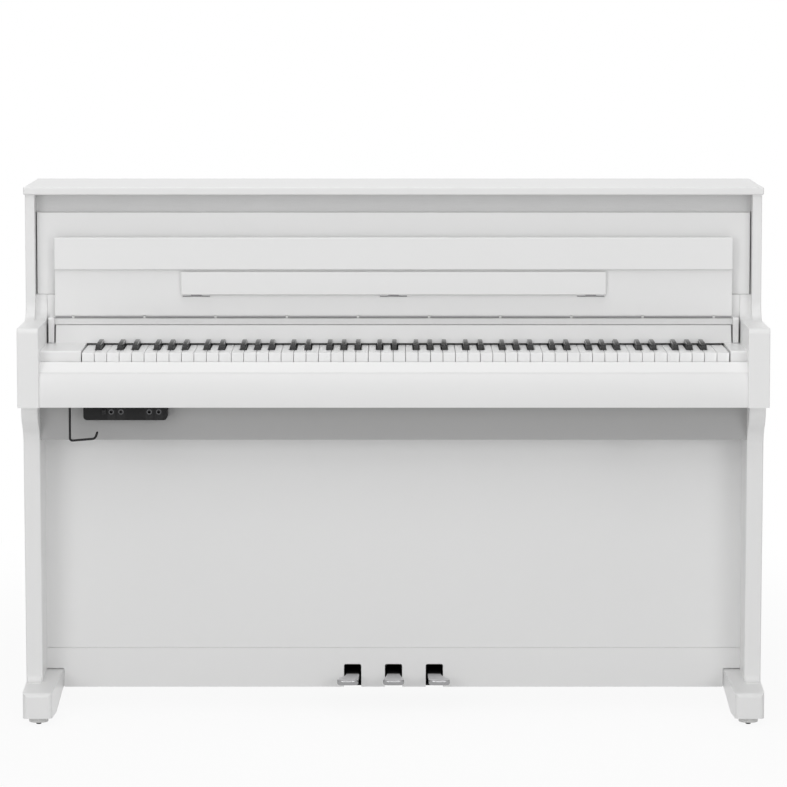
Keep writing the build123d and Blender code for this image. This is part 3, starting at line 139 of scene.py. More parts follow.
# Headphone hook
HOOK_LOW, HOOK_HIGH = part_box("headphone_hook")
HOOK_PLATE = 22.0 * MM
HOOK_PLATE_THICKNESS = 2.0 * MM
HOOK_PLATE_EDGE = 0.8 * MM
HOOK_PLATE_CORNER = 3.0 * MM
HOOK_LAP = 0.5 * MM            # how far the wire reaches into the plate
HOOK_TIP = 14.0 * MM
HOOK_RISE = 4.0 * MM
HOOK_LEAN = 4.0 * MM
HOOK_BEND = 6.0 * MM

# Rear panel screws, with radii for the head and the shank
SCREW_LOW, SCREW_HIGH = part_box("assembly_screws")
SCREW_HEAD = 4.0 * MM
SCREW_HEAD_HEIGHT = 2.4 * MM
SCREW_SHANK = 1.9 * MM
GROOVE_HALF = 0.8 * MM
GROOVE_REACH = 2.4 * MM
GROOVE_FLANK = 0.4 * MM        # over which a groove falls to its depth
GROOVE_DEPTH = 1.2 * MM
SCREW_ROWS = 4
SCREW_COLUMNS = 6
SCREW_COLUMN_HALF = 629.5 * MM
SCREW_LOWEST_ROW = 678.0 * MM

# Glides: radii of the pad, its lower step and the tip
GLIDE_LOW, GLIDE_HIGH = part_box("glide_pads")
GLIDE_PAD = 20.0 * MM
GLIDE_STEP = 18.5 * MM
GLIDE_STEP_DROP = 0.5 * MM     # step below the pad's middle
GLIDE_TIP = 5.0 * MM
GLIDE_EDGE = 1.0 * MM

# Radii of the hinge barrels, and places of the jack sockets
COVER_BARREL = 2.4 * MM
REST_BARREL = 1.8 * MM
SOCKETS = [mount["pos_m"] for mount in frame["record"]["mounts"] if mount["kind"] == "bore"]
SOCKET_COLLAR = 5.0 * MM

# Colours of small parts
COATING = (0.010, 0.010, 0.011)
FRAME_PLASTIC = (0.30, 0.30, 0.30)
CONTACT_RUBBER = (0.2, 0.2, 0.2)
TIP_RUBBER = (0.035, 0.035, 0.035)
# Painted shade: black for the pedal arms, standing in for the shadow inside the rail's slot.
PAINTED_SLOT_SHADE = (0.012, 0.012, 0.012)
DULL_NICKEL = (0.06, 0.06, 0.063)
BRIGHT_NICKEL = (0.14, 0.14, 0.144)
SOLDER_MASK = (0.03, 0.19, 0.08)
TRACK = (0.06, 0.33, 0.14)
SOLDER = (0.62, 0.60, 0.55)

# Stage, in metres: the floor's shade fades out from the near radius to the far one
FLOOR_RADIUS = 14.0
FLOOR_SIDES = 96
FLOOR_NEAR = 0.9
FLOOR_FAR = 2.4
FLOOR_WHITE = 0.92             # share of plain white in the floor near the piano
WHITE = (1.0, 1.0, 1.0, 1.0)
LAMP_AIM = Vector((0.0, 0.0, 0.6))

# Lamps: place and size of each
SOFTBOX = (-0.5, -3.4, 3.1), (3.6, 2.2)
OVERHEAD = (-0.3, -0.5, 4.0), (3.4, 2.4)
FILL_LEFT = (-2.3, -4.3, 1.2), (1.6, 1.6)
FILL_RIGHT = (2.3, -4.3, 1.2), (1.6, 1.6)

CLIP_END = 100.0               # how far the camera sees, in metres
CREASE = math.radians(38)      # edges sharper than this are shown sharp
SECTION_SIDES = 48             # points round a turned form, a pedal or a screw


def tint(name, description, default):
    """Property for a colour."""
    return FloatVectorProperty(
        name=name, description=description, subtype="COLOR", default=default, min=0, max=1)


def span(name, description, default, least, most):
    """Property for a small length, from millimetres."""
    return FloatProperty(
        name=name, description=description, subtype="DISTANCE", unit="LENGTH", default=default * MM,
        min=least * MM, max=most * MM)


def power(name, description, default):
    """Property for a lamp's power, in watts."""
    return FloatProperty(
        name=name, description=description, subtype="POWER", unit="POWER", default=default, min=0)


class CabinetLook(PropertyGroup):
    """Finishes of the boards, the grille and the felts."""

    lacquer: tint("Lacquer", "White lacquer of the boards", (0.86, 0.86, 0.858))
    board: tint("Board", "Painted board of the back and the key bed", (0.74, 0.735, 0.72))
    cloth: tint("Cloth", "Speaker cloth under the lid", (0.72, 0.72, 0.72))
    # Painted shade: the speaker box's grey stands in for the shadow under the key bed over what would be white
    # lacquer.
    underbed_shade: tint("Speaker box", "Paint of the speaker box under the key bed", (0.42, 0.42, 0.42))
    felt: tint("Felt", "Felt between the keys and the nameboard", (0.022, 0.022, 0.024))


class KeyboardLook(PropertyGroup):
    """Colours and forms of the keys."""

    white: tint("White keys", "Colour of the white keys", (0.91, 0.91, 0.91))
    black: tint("Black keys", "Colour of the black keys", (0.006, 0.006, 0.0065))
    white_round: span("White edge", "Rounding of the white keys' top edges", 0.9, 0.1, 2)
    black_round: span("Black edge", "Rounding of the black keys' top edges", 1.5, 0.1, 3)
    black_taper: span("Black taper", "How much narrower each side of a black key is on top", 0.9, 0, 2)
    black_slope: span("Black slope", "How far a black key's front leans back", 5.0, 0, 10)
    black_fall: span("Black fall", "How far a black key's top falls towards its front", 1.8, 0, 4)


class FittingLook(PropertyGroup):
    """Finishes of the pedals, the hinges and the small fittings."""

    chrome: tint("Chrome", "Plating of the pedals", (0.32, 0.32, 0.325))
    steel: tint("Steel", "Steel of rods, springs and screws", (0.55, 0.55, 0.56))
    # Partly painted reflection: the barrels are real steel, but darker than the other steel, standing in for the
    # shaded gap they reflect.
    hinge: tint("Hinges", "Darker steel of the hinge barrels", (0.42, 0.42, 0.425))
    plastic: tint("Black plastic", "Mouldings of the jack box and the inlet", (0.008, 0.008, 0.0085))
    glide: tint("Glides", "Moulded glide pads", (0.78, 0.78, 0.77))
    wire: span("Hook wire", "Thickness of the headphone hook's wire", 4.4, 2, 6)


class StageLook(PropertyGroup):
    """Camera, light and floor."""

    camera_place: FloatVectorProperty(
        name="Camera", description="Place of the camera", subtype="TRANSLATION", unit="LENGTH",
        default=(0.0, -7.4551, 1.4609))
    camera_tilt: FloatProperty(
        name="Tilt", description="How far the camera looks down", subtype="ANGLE", unit="ROTATION",
        default=math.radians(5.549))
    lens: FloatProperty(
        name="Lens", description="Focal length", unit="CAMERA", default=176.12, min=20)
    shift: FloatProperty(
        name="Shift", description="Vertical lens shift, in widths of the picture", subtype="FACTOR",
        default=-0.075, min=-0.2, max=0.2)
    floor: tint("Floor", "Colour of the floor", (0.80, 0.80, 0.80))
    ambient: FloatProperty(
        name="Ambient", description="Strength of the light from all round", subtype="FACTOR",
        default=0.38, min=0, max=1)
    softbox: power("Softbox", "Power of the large lamp above the front", 28.0)
    overhead: power("Overhead", "Power of the large lamp above the piano", 35.0)
    fill: power("Fill", "Power of the two lamps in front", 55.0)


class Wire:
    """One shader socket: arithmetic on it adds Math nodes, and node() adds any other node."""

    def __init__(self, tree, socket=None):
        self.tree = tree
        self.socket = socket

    def node(self, kind, settings=None, sockets=None, out=0):
        """A new node: its settings are set first, then the values or links of its sockets."""
        made = self.tree.nodes.new("ShaderNode" + kind)
        for name, value in (settings or {}).items():
            setattr(made, name, value)
        for name, value in (sockets or {}).items():
            if isinstance(value, Wire):
                self.tree.links.new(value.socket, made.inputs[name])
            else:
                made.inputs[name].default_value = value
        return Wire(self.tree, made.outputs[out] if len(made.outputs) else None)

    def math(self, operation, *values):
        """A Math node on this socket and other values."""
        return self.node("Math", {"operation": operation}, dict(enumerate((self,) + values)))

    def __add__(self, other):
        return self.math("ADD", other)

    __radd__ = __add__

    def __sub__(self, other):
        return self.math("SUBTRACT", other)

    def __rsub__(self, other):
        return (self * -1) + other

    def __mul__(self, other):
        return self.math("MULTIPLY", other)

    __rmul__ = __mul__

    def __truediv__(self, other):
        return self.math("DIVIDE", other)

    def place(self):
        """Object coordinates, in metres."""
        return self.node("TexCoord", out="Object")

    def axis(self, letter):
        """One coordinate of this vector."""
        return self.node("SeparateXYZ", None, {"Vector": self}, letter)

    def stretched(self, x, y, z):
        """This vector with its three coordinates scaled."""
        return self.node("Mapping", None, {"Vector": self, "Scale": (x, y, z)})

    def noise(self, scale, detail=2.0, roughness=0.5):
        """Noise from 0 to 1 over this vector."""
        return self.node("TexNoise", None, {
            "Vector": self, "Scale": scale, "Detail": detail, "Roughness": roughness})

    def smooth(self, low, high):
        """0 below low, 1 above high, with a smooth step between them."""
        return self.node("MapRange", {"interpolation_type": "SMOOTHSTEP"}, {
            "Value": self, "From Min": low, "From Max": high})

    def mix(self, first, second):
        """Colour between two others: the first where this value is 0, the second where it is 1."""
        return self.node("Mix", {"data_type": "RGBA"}, {0: self, 6: opaque(first), 7: opaque(second)}, 2)

    def bump(self, distance, strength=1.0):
        """Surface normal of this height, in units of distance."""
        return self.node("Bump", None, {"Height": self, "Distance": distance, "Strength": strength})


def opaque(colour):
    """A colour with full opacity, or the wire that carries one."""
    return colour if isinstance(colour, Wire) else (*colour[:3], 1.0)


def shade(colour, factor):
    """A colour made darker or lighter by a factor."""
    return tuple(min(1.0, c * factor) for c in colour)


def emptied(owner):
    """Wire into the emptied node tree of a material or a world."""
    owner.use_nodes = True
    owner.node_tree.nodes.clear()
    return Wire(owner.node_tree)


def finish(make, *values, name=None):
    """A finish, made on first use by a function from object coordinates and values to shader sockets."""
    own_name = f"{name or make.__name__}_finish"
    material = bpy.data.materials.get(own_name)
    if material is None:
        material = bpy.data.materials.new(own_name)
        wire = emptied(material)
        shader = wire.node("BsdfPrincipled", None, make(wire.place(), *values))
        wire.node("OutputMaterial", None, {"Surface": shader})
    return material


def distance(first, second):
    """Length of a vector of two wires."""
    return (first * first + second * second).math("SQRT")


def lacquer(place, colour):
    """Sprayed lacquer: faint clouds in tone, rubbed patches in gloss and a fine orange peel."""
    clouds = place.noise(2.6, 3)
    rubbed = place.stretched(4, 9, 9).noise(1.0, 4, 0.6)
    specks = place.noise(700, 2).smooth(0.70, 0.78)
    peel = place.noise(230, 2)
    tone = clouds.mix(shade(colour, 0.985), shade(colour, 1.012))
    return {
        "Base Color": (specks * 0.25).mix(tone, shade(colour, 0.93)),
        "Roughness": 0.27 + 0.14 * rubbed + 0.08 * specks,
        "Coat Weight": 0.25 - 0.12 * rubbed,
        "Coat Roughness": 0.2,
        "Normal": peel.bump(0.05 * MM, 0.35),
    }


def hinged_lacquer(place, colour, steel, joint, radius):
    """Lacquer that turns to bare steel on the hinge barrels round a joint's axis."""
    axis_y, axis_z = joint_place(joint)[1:]
    sockets = lacquer(place, colour)
    from_axis = distance(place.axis("Y") - axis_y, place.axis("Z") - axis_z)
    barrel = 1 - from_axis.smooth(radius + 0.1 * MM, radius + 0.4 * MM)
    brushed = place.stretched(30, 900, 900).noise(1.0, 3)
    metal = brushed.mix(shade(steel, 0.8), shade(steel, 1.1))
    sockets["Base Color"] = barrel.mix(sockets["Base Color"], metal)
    sockets["Metallic"] = barrel
    sockets["Roughness"] = sockets["Roughness"] + 0.3 * barrel
    sockets["Coat Weight"] = sockets["Coat Weight"] * (1 - barrel)
    return sockets


def painted_board(place, colour):
    """Fibre board under thin paint: fine fibre specks and slow unevenness."""
    fibres = place.stretched(160, 900, 700).noise(1.0, 4, 0.65)
    flecks = place.noise(420, 3).smooth(0.62, 0.72)
    clouds = place.noise(5, 3)
    tone = (0.6 * fibres + 0.4 * clouds).mix(shade(colour, 0.90), shade(colour, 1.06))
    return {
        "Base Color": (flecks * 0.35).mix(tone, shade(colour, 0.74)),
        "Roughness": 0.62 + 0.2 * fibres,
        "Normal": fibres.bump(0.12 * MM, 0.5),
    }


def speaker_cloth(place, colour):
    """Plain weave: crossing threads from two sine waves, with slubs along them."""
    thread = 1.5 * MM
    turn = 2 * math.pi / thread
    warp = (place.axis("X") * turn).math("SINE")
    weft = (place.axis("Z") * turn).math("SINE")
    weave = 0.5 + 0.5 * warp * weft
    slubs = place.stretched(25, 200, 700).noise(1.0, 3)
    clouds = place.noise(14, 2)
    tone = (0.55 * weave + 0.3 * slubs + 0.15 * clouds).mix(shade(colour, 0.80), shade(colour, 1.14))
    return {
        "Base Color": tone,
        "Roughness": 0.84 + 0.12 * weave,
        "Sheen Weight": 0.25,
        "Sheen Roughness": 0.5,
        "Normal": (weave + 0.4 * slubs).bump(0.25 * MM, 0.6),
    }


def pressed_felt(place, colour):
    """Pressed felt: matted fibres in two sizes and a soft sheen."""
    mat = place.stretched(300, 700, 700).noise(1.0, 5, 0.7)
    tufts = place.noise(160, 3)
    return {
        "Base Color": (0.6 * mat + 0.4 * tufts).mix(shade(colour, 0.5), shade(colour, 2.0)),
        "Roughness": 0.9 + 0.1 * mat,
        "Sheen Weight": 0.3,
        "Sheen Roughness": 0.6,
        "Normal": (mat + tufts).bump(0.3 * MM, 0.8),
    }


def white_key_plastic(place, colour):
    """Satin white keys: each key a little different in tone, smoother where fingers play."""
    number = ((place.axis("X") - KEYBOARD_LEFT) / WHITE_PITCH).math("FLOOR")
    own_tone = place.node("TexWhiteNoise", {"noise_dimensions": "1D"}, {"W": number})
    grain = place.stretched(500, 60, 500).noise(1.0, 3)
    played = 1 - place.axis("Y").smooth(KEY_FRONT + 20 * MM, KEY_FRONT + 75 * MM)
    smears = place.noise(60, 3)
    tone = (0.7 * own_tone + 0.3 * grain).mix(shade(colour, 0.975), shade(colour, 1.015))
    return {
        "Base Color": tone,
        "Roughness": 0.34 + 0.1 * smears - 0.1 * played,
        "Coat Weight": 0.2 + 0.15 * played,
        "Coat Roughness": 0.12,
        "Normal": grain.bump(0.02 * MM, 0.4),
    }


def black_key_plastic(place, colour):
    """Satin black keys: a fine moulded grain, rubbed smoother along the top."""
    grain = place.noise(1400, 2)
    streaks = place.stretched(700, 60, 700).noise(1.0, 3)
    rubbed = place.axis("Z").smooth(BLACK_HIGH.z - 5 * MM, BLACK_HIGH.z - 2 * MM)
    return {
        "Base Color": (0.5 * grain + 0.5 * streaks).mix(shade(colour, 0.7), shade(colour, 1.5)),
        "Roughness": 0.30 + 0.10 * streaks - 0.28 * rubbed,
        "Specular IOR Level": 0.35,
        "Normal": grain.bump(0.001 * MM, 0.4),
    }


def pedal_chrome(place, colour):
    """Polished plating, rubbed to satin where it faces up, with a painted highlight that lightens the up-facing
    top, and painted shade that blackens the arm behind the rail.
    """
    scuffs = place.stretched(900, 70, 300).noise(1.0, 4, 0.6).smooth(0.55, 0.75)
    film = place.noise(35, 3)
    satin_and_lit_top = place.node("NewGeometry", out="Normal").axis("Z").smooth(0.55, 0.9)
    # Painted highlight: the plating's colour is lighter on the up-facing top, for the light from above; the satin
    # roughness there is real rubbing.
    plated = (0.85 * satin_and_lit_top + 0.15 * film).mix(shade(colour, 0.95), shade(colour, 2.1))
    # Painted shade: behind the rail the arm turns black, for the shadow inside the slot.
    arm = place.axis("Y").smooth(PEDAL_RAIL - 6 * MM, PEDAL_RAIL + 4 * MM)
    return {
        "Base Color": arm.mix(plated, PAINTED_SLOT_SHADE),
        "Metallic": 1.0 - 0.7 * satin_and_lit_top,
        "Roughness": 0.1 + 0.06 * film + 0.08 * scuffs + 0.4 * satin_and_lit_top,
        "Normal": scuffs.bump(0.01 * MM, 0.3),
    }


def brushed_steel(place, colour):
    """Steel drawn along its length: long fine streaks and a little staining."""
    streaks = place.stretched(30, 900, 900).noise(1.0, 4, 0.6)
    stains = place.noise(45, 3)
    return {
        "Base Color": (0.6 * streaks + 0.4 * stains).mix(shade(colour, 0.8), shade(colour, 1.12)),
        "Metallic": 1.0,
        "Roughness": 0.26 + 0.2 * streaks,
        "Normal": streaks.bump(0.02 * MM, 0.4),
    }


def moulded_plastic(place, colour, grain_scale=1100.0, roughness=0.48):
    """Moulded plastic: a spark-eroded grain and slow flow marks."""
    grain = place.noise(grain_scale, 3, 0.6)
    flow = place.noise(22, 3)
    return {
        "Base Color": (0.5 * grain + 0.5 * flow).mix(shade(colour, 0.86), shade(colour, 1.14)),
        "Roughness": roughness + 0.16 * grain,
        "Specular IOR Level": 0.25,
        "Normal": grain.bump(0.06 * MM, 0.6),
    }


def speaker_guard(place, colour):
    """Black moulding with a square pattern of round sound holes, each painted darker as the shade inside it."""
    pitch = 4.0 * MM
    x = (place.axis("X") / pitch).math("FRACT") - 0.5
    y = (place.axis("Y") / pitch).math("FRACT") - 0.5
    hole_and_shade = 1 - distance(x, y).smooth(0.24, 0.32)
    grain = place.noise(1100, 3)
    moulding = grain.mix(shade(colour, 1.2), shade(colour, 2.2))
    return {
        # Painted shade: the holes are coloured darker for the shadow inside them; their roughness and bump are the
        # holes' own.
        "Base Color": hole_and_shade.mix(moulding, shade(colour, 0.2)),
        "Roughness": 0.5 + 0.15 * grain + 0.2 * hole_and_shade,
        "Normal": (1 - hole_and_shade).bump(0.6 * MM, 0.6),
    }


def rubber(place, colour):
    """Matt rubber: a soft bloom and a fine pebbled skin."""
    pebbles = place.noise(900, 2)
    bloom = place.noise(70, 3)
    return {
        "Base Color": bloom.mix(shade(colour, 0.85), shade(colour, 1.2)),
        "Roughness": 0.74 + 0.18 * pebbles,
        "Normal": pebbles.bump(0.05 * MM, 0.5),
    }


def circuit_board(place):
    """Solder mask with straight tracks in two directions and bright pads."""
    along_pitch, across_pitch = 2.4 * MM, 3.2 * MM
    along = (place.axis("X") / along_pitch).math("FRACT").smooth(0.60, 0.68)
    across = (place.axis("Y") / across_pitch).math("FRACT").smooth(0.62, 0.70)
    patches = place.stretched(35, 35, 35).noise(1.0, 1).smooth(0.48, 0.52)
    tracks = along * patches + across * (1 - patches)
    pads = place.noise(210, 1).smooth(0.70, 0.73)
    green = (tracks * 0.8).mix(SOLDER_MASK, TRACK)
    return {
        "Base Color": pads.mix(green, SOLDER),
        "Metallic": pads,
        "Roughness": 0.34 + 0.15 * tracks,
        "Normal": (tracks + pads).bump(0.05 * MM, 0.5),
    }


def socket_nickel(place, colour):
    """Black socket blocks with collars of dark nickel, turned in fine rings along the bore."""
    ring_pitch = 0.5 * MM
    x, z = place.axis("X"), place.axis("Z")
    nearest, *others = [distance(x - socket[0], z - socket[2]) for socket in SOCKETS]
    for other in others:
        nearest = nearest.math("MINIMUM", other)
    collar = 1 - nearest.smooth(SOCKET_COLLAR, SOCKET_COLLAR + 0.3 * MM)
    grain = place.noise(1100, 3)
    block = grain.mix(shade(colour, 0.86), shade(colour, 1.14))
    rings = (place.axis("Y") * (2 * math.pi / ring_pitch)).math("SINE")
    tarnish = place.noise(160, 3)
    return {
        "Base Color": collar.mix(block, tarnish.mix(DULL_NICKEL, BRIGHT_NICKEL)),
        "Metallic": collar,
        "Roughness": 0.34 + 0.12 * tarnish + 0.2 * (1 - collar),
        "Specular IOR Level": 0.35,
        "Normal": (rings * collar + grain).bump(0.03 * MM, 0.4),
    }


def dress(material, *names):
    """Give CAD nodes a finish."""
    for name in names:
        slots = frame["nodes"][name].data.materials
        slots.clear()
        slots.append(material)


def close_rings(rings):
    """Points, walls and end caps of closed forms.

    Rings are indexed by form, ring, point and coordinate. A wall joins each ring to the next, and a
    flat cap closes the first and the last.
    """
    forms, rows, columns = rings.shape[:3]
    row, column = np.meshgrid(np.arange(rows - 1) * columns, np.arange(columns), indexing="ij")
    following = (column + 1) % columns
    walls = np.stack([row + column, row + following, row + columns + following,
                      row + columns + column], -1).reshape(-1, 4)
    around = np.arange(columns)
    caps = np.stack([around[::-1], (rows - 1) * columns + around])
    start = np.arange(forms)[:, None, None] * rows * columns
    return rings.reshape(-1, 3), (walls + start).reshape(-1, 4), (caps + start).reshape(-1, columns)


def enclosed(points, faces):
    """Signed volume under faces: a sixth of the triple product, summed over each face's fan."""
    first = points[faces[:, :1]]
    return np.sum(first * np.cross(points[faces[:, 1:-1]], points[faces[:, 2:]])) / 6


def add_piece(name, parts, material, slot, body, *nodes):
    """One mesh object from sets of rings, riding on a body in place of CAD nodes."""
    points, faces, start = [], [], 0
    for rings in parts:
        corners, walls, caps = close_rings(rings)
        inside_out = enclosed(corners, walls) + enclosed(corners, caps) < 0
        step = -1 if inside_out else 1
        faces += (walls[:, ::step] + start).tolist() + (caps[:, ::step] + start).tolist()
        points.append(corners)
        start += len(corners)
    mesh = bpy.data.meshes.new(name)
    mesh.from_pydata(np.concatenate(points), [], faces)
    mesh.polygons.foreach_set("use_smooth", np.ones(len(mesh.polygons), dtype=bool))
    mesh.set_sharp_from_angle(angle=CREASE)
    mesh.materials.append(material)
    piece = bpy.data.objects.new(name, mesh)
    bpy.context.scene.collection.objects.link(piece)
    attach(piece, body)
    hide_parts(*nodes)


def quarter(steps=5):
    """Angles of a quarter turn."""
    return np.linspace(0, math.pi / 2, steps)


def whole(sides=SECTION_SIDES):
    """Angles of a whole turn, without its end."""
    return np.arange(sides) * 2 * math.pi / sides


def slab(low, high, edge, corner):
    """Slab with rounded edges.

    Each ring is a rectangle with quarter-circle corners. The ring's inset follows a quarter circle of
    radius edge from the bottom face out to the side, and another one from the side in to the top.
    """
    low, high = np.array(low), np.array(high)
    turn = quarter()
    rise = edge * (1 - np.cos(turn))
    inset = edge * (1 - np.sin(turn))
    inset = np.concatenate([inset, inset[::-1]])[:, None]
    height = np.concatenate([low[2] + rise, high[2] - rise[::-1]])[:, None]
    angle = (np.arange(4)[:, None] * math.pi / 2 + turn).ravel()
    side_x = np.repeat([1, -1, -1, 1], len(turn))
    side_y = np.repeat([1, 1, -1, -1], len(turn))
    middle, half = (low + high) / 2, (high - low) / 2
    x = middle[0] + side_x * (half[0] - corner) + (corner - inset) * np.cos(angle)
    y = middle[1] + side_y * (half[1] - corner) + (corner - inset) * np.sin(angle)
    return np.stack([x, y, height + 0 * x], -1)[None]


def upright(rings):
    """Rings with their second and third coordinates exchanged, so that a slab stands on edge."""
    return rings[..., [0, 2, 1]]


def turned(radii, heights, places):
    """Turned forms: a profile of radii and heights carried round a vertical axis at each place."""
    angle = whole()
    ring = np.stack([np.cos(angle), np.sin(angle), 0 * angle], -1)
    radii, heights = np.array(radii)[:, None, None], np.array(heights)[:, None, None]
    form = radii * ring + heights * np.array([0, 0, 1])
    return np.array(places)[:, None, None, :] + form


def key_table():
    """Arrays over all keys: step above C, octave's left end, slot's left end and slot's width.

    The width behind the heads is shared evenly: three white keys' width among C to E, four among F to B.
    """
    octave, step = np.divmod(np.arange(KEY_COUNT) + LOWEST_STEP, OCTAVE)
    lower_whites = np.searchsorted(WHITE_STEPS, F_STEP)
    left = KEYBOARD_LEFT + (len(WHITE_STEPS) * octave
                            - np.searchsorted(WHITE_STEPS, LOWEST_STEP)) * WHITE_PITCH
    lower_unit = lower_whites * WHITE_PITCH / F_STEP
    upper_unit = (len(WHITE_STEPS) - lower_whites) * WHITE_PITCH / (OCTAVE - F_STEP)
    lower = step < F_STEP
    unit = np.where(lower, lower_unit, upper_unit)
    start = np.where(lower, left + step * lower_unit,
                     left + lower_whites * WHITE_PITCH + (step - F_STEP) * upper_unit)
    return step, left, start, unit


def key_node(number, colour):
    """Name of the CAD node that a key belongs to."""
    side = "bass" if number < min(SINGLE_KEYS) else "treble"
    return SINGLE_KEYS.get(number, f"{colour}_keys_{side}")


def key_rings(left, right, y, bottom, top, edge, taper=0.0):
    """Keys as cross-sections along y.

    Each section is a trapezium from bottom to top, narrower by taper on each side, whose two upper
    corners are quarter circles of radius edge. All sizes are arrays by key and section.
    """
    left, right, y, bottom, top, taper = np.broadcast_arrays(left, right, y, bottom, top, taper)
    left, right, y, bottom, top, taper = (
        a[..., None] for a in (left, right, y, bottom, top, taper))
    turn = quarter()
    inward = taper + edge * (1 - np.cos(turn))
    arc = top - edge * (1 - np.sin(turn))
    x = np.concatenate([left, right, right - inward, (left + inward)[..., ::-1]], -1)
    z = np.concatenate([bottom, bottom, arc, arc[..., ::-1]], -1)
    return np.stack([x, y + 0 * x, z], -1)


def key_undersides(y):
    """Height of the keys' undersides: flat, with a V-shaped notch over the balance rail."""
    notch = np.clip(1 - np.abs(y - KEY_PIVOT) / PIVOT_NOTCH_HALF, 0, 1)
    return WHITE_LOW.z + PIVOT_NOTCH * notch


class PianoBoards(Operator):
    """Lacquer the cabinet's fixed boards"""

    bl_idname = "piano.boards"
    bl_label = "Lacquered boards"

    def execute(self, context):
        look = context.scene.piano_cabinet
        dress(finish(lacquer, look.lacquer, name="white_lacquer"),
              "side_panel_left", "side_panel_right", "arm_left", "arm_right", "top_lid", "upper_panel",
              "key_slip", "key_block_left", "key_block_right", "nameboard", "hinge_rail", "cover_brackets",
              "leg_left", "leg_right", "foot_left", "foot_right", "lower_panel", "pedal_rail")
        # Painted shade: the speaker box gets a grey lacquer for the shadow under the key bed.
        dress(finish(lacquer, look.underbed_shade, name="grey_paint"), "speaker_box")
        return {"FINISHED"}


class PianoCover(Operator):
    """Lacquer the key cover, its front leaf and the music rest, and finish their hinges"""

    bl_idname = "piano.cover"
    bl_label = "Key cover and music rest"

    def execute(self, context):
        white = context.scene.piano_cabinet.lacquer
        # The barrels' darker steel is partly a painted reflection of the shaded gap round them.
        steel = context.scene.piano_fittings.hinge
        cover = finish(hinged_lacquer, white, steel, "cover_hinge", COVER_BARREL, name="cover_lacquer")
        rest = finish(hinged_lacquer, white, steel, "rest_fold", REST_BARREL, name="rest_lacquer")
        plain = finish(lacquer, white, name="white_lacquer")
        dress(cover, "key_cover")
        dress(rest, "music_rest", "rest_hinges")
        dress(plain, "cover_front_leaf", "leaf_hinge", "cover_hinge")
        return {"FINISHED"}


class PianoWhiteKeys(Operator):
    """Mould the white keys with rounded edges, head and tail"""

    bl_idname = "piano.white_keys"
    bl_label = "White keys"

    def execute(self, context):
        look = context.scene.piano_keys
        edge = look.white_round
        step, left, start, unit = key_table()
        number = np.flatnonzero(np.isin(step, WHITE_STEPS))
        step, left, start, unit = step[number], left[number], start[number], unit[number]
        head_left = left + np.searchsorted(WHITE_STEPS, step) * WHITE_PITCH + KEY_GAP / 2
        head_right = head_left + WHITE_PITCH - KEY_GAP
        tail_left = np.where(number == 0, head_left, np.maximum(start, head_left))
        tail_right = np.where(number == KEY_COUNT - 1, head_right, np.minimum(start + unit, head_right))
        turn = quarter(4)
        shoulder = BLACK_LOW.y - NOTCH_GAP
        y = np.concatenate([KEY_FRONT + edge * (1 - np.cos(turn)), [shoulder, shoulder], PIVOT_SECTIONS,
                            [WHITE_HIGH.y]])
        inset = np.concatenate([edge * (1 - np.sin(turn)), np.zeros(len(y) - len(turn))])
        in_head = np.arange(len(y)) <= len(turn)
        left = np.where(in_head, head_left[:, None], tail_left[:, None]) + inset
        right = np.where(in_head, head_right[:, None], tail_right[:, None]) - inset
        rings = key_rings(left, right, y, key_undersides(y), WHITE_HIGH.z - inset, edge)
        add_keys("white", number, rings, finish(white_key_plastic, look.white))
        return {"FINISHED"}


class PianoBlackKeys(Operator):
    """Mould the black keys with a sloped front, a falling top and narrowing sides"""

    bl_idname = "piano.black_keys"
    bl_label = "Black keys"

    def execute(self, context):
        look = context.scene.piano_keys
        edge = look.black_round
        step, _, start, unit = key_table()
        number = np.flatnonzero(~np.isin(step, WHITE_STEPS))
        middle = (start[number] + unit[number] / 2)[:, None]
        turn = quarter(4)
        front, rear, top = BLACK_LOW.y, BLACK_LOW.y + BLACK_LENGTH, BLACK_HIGH.z
        stick = WHITE_HIGH.z - STICK_DROP
        crown = 2 * edge
        y = np.concatenate([[front, front + TOE_LEAN], front + look.black_slope + crown * np.sin(turn),
                            [rear - edge, rear, rear], PIVOT_SECTIONS, [BLACK_HIGH.y]])
        brow = top - look.black_fall - crown * (1 - np.sin(turn)) * CROWN_SHARE
        height = np.concatenate([[stick, WHITE_HIGH.z + TOE_RISE], brow, [top, top - edge, stick],
                                 np.full(len(PIVOT_SECTIONS) + 1, stick)])
        share = np.clip((height - stick) / (top - stick), 0, 1)
        half = BLACK_WIDTH / 2
        rings = key_rings(middle - half, middle + half, y, key_undersides(y), height, edge,
                          look.black_taper * share)
        add_keys("black", number, rings, finish(black_key_plastic, look.black))
        return {"FINISHED"}


def add_keys(colour, number, rings, material):
    """One piece for each CAD node of keys of one colour."""
    nodes = np.array([key_node(n, colour) for n in number])
    for node in dict.fromkeys(nodes):
        add_piece(f"moulded_{node}", [rings[nodes == node]], material, f"{colour}_key", node, node)


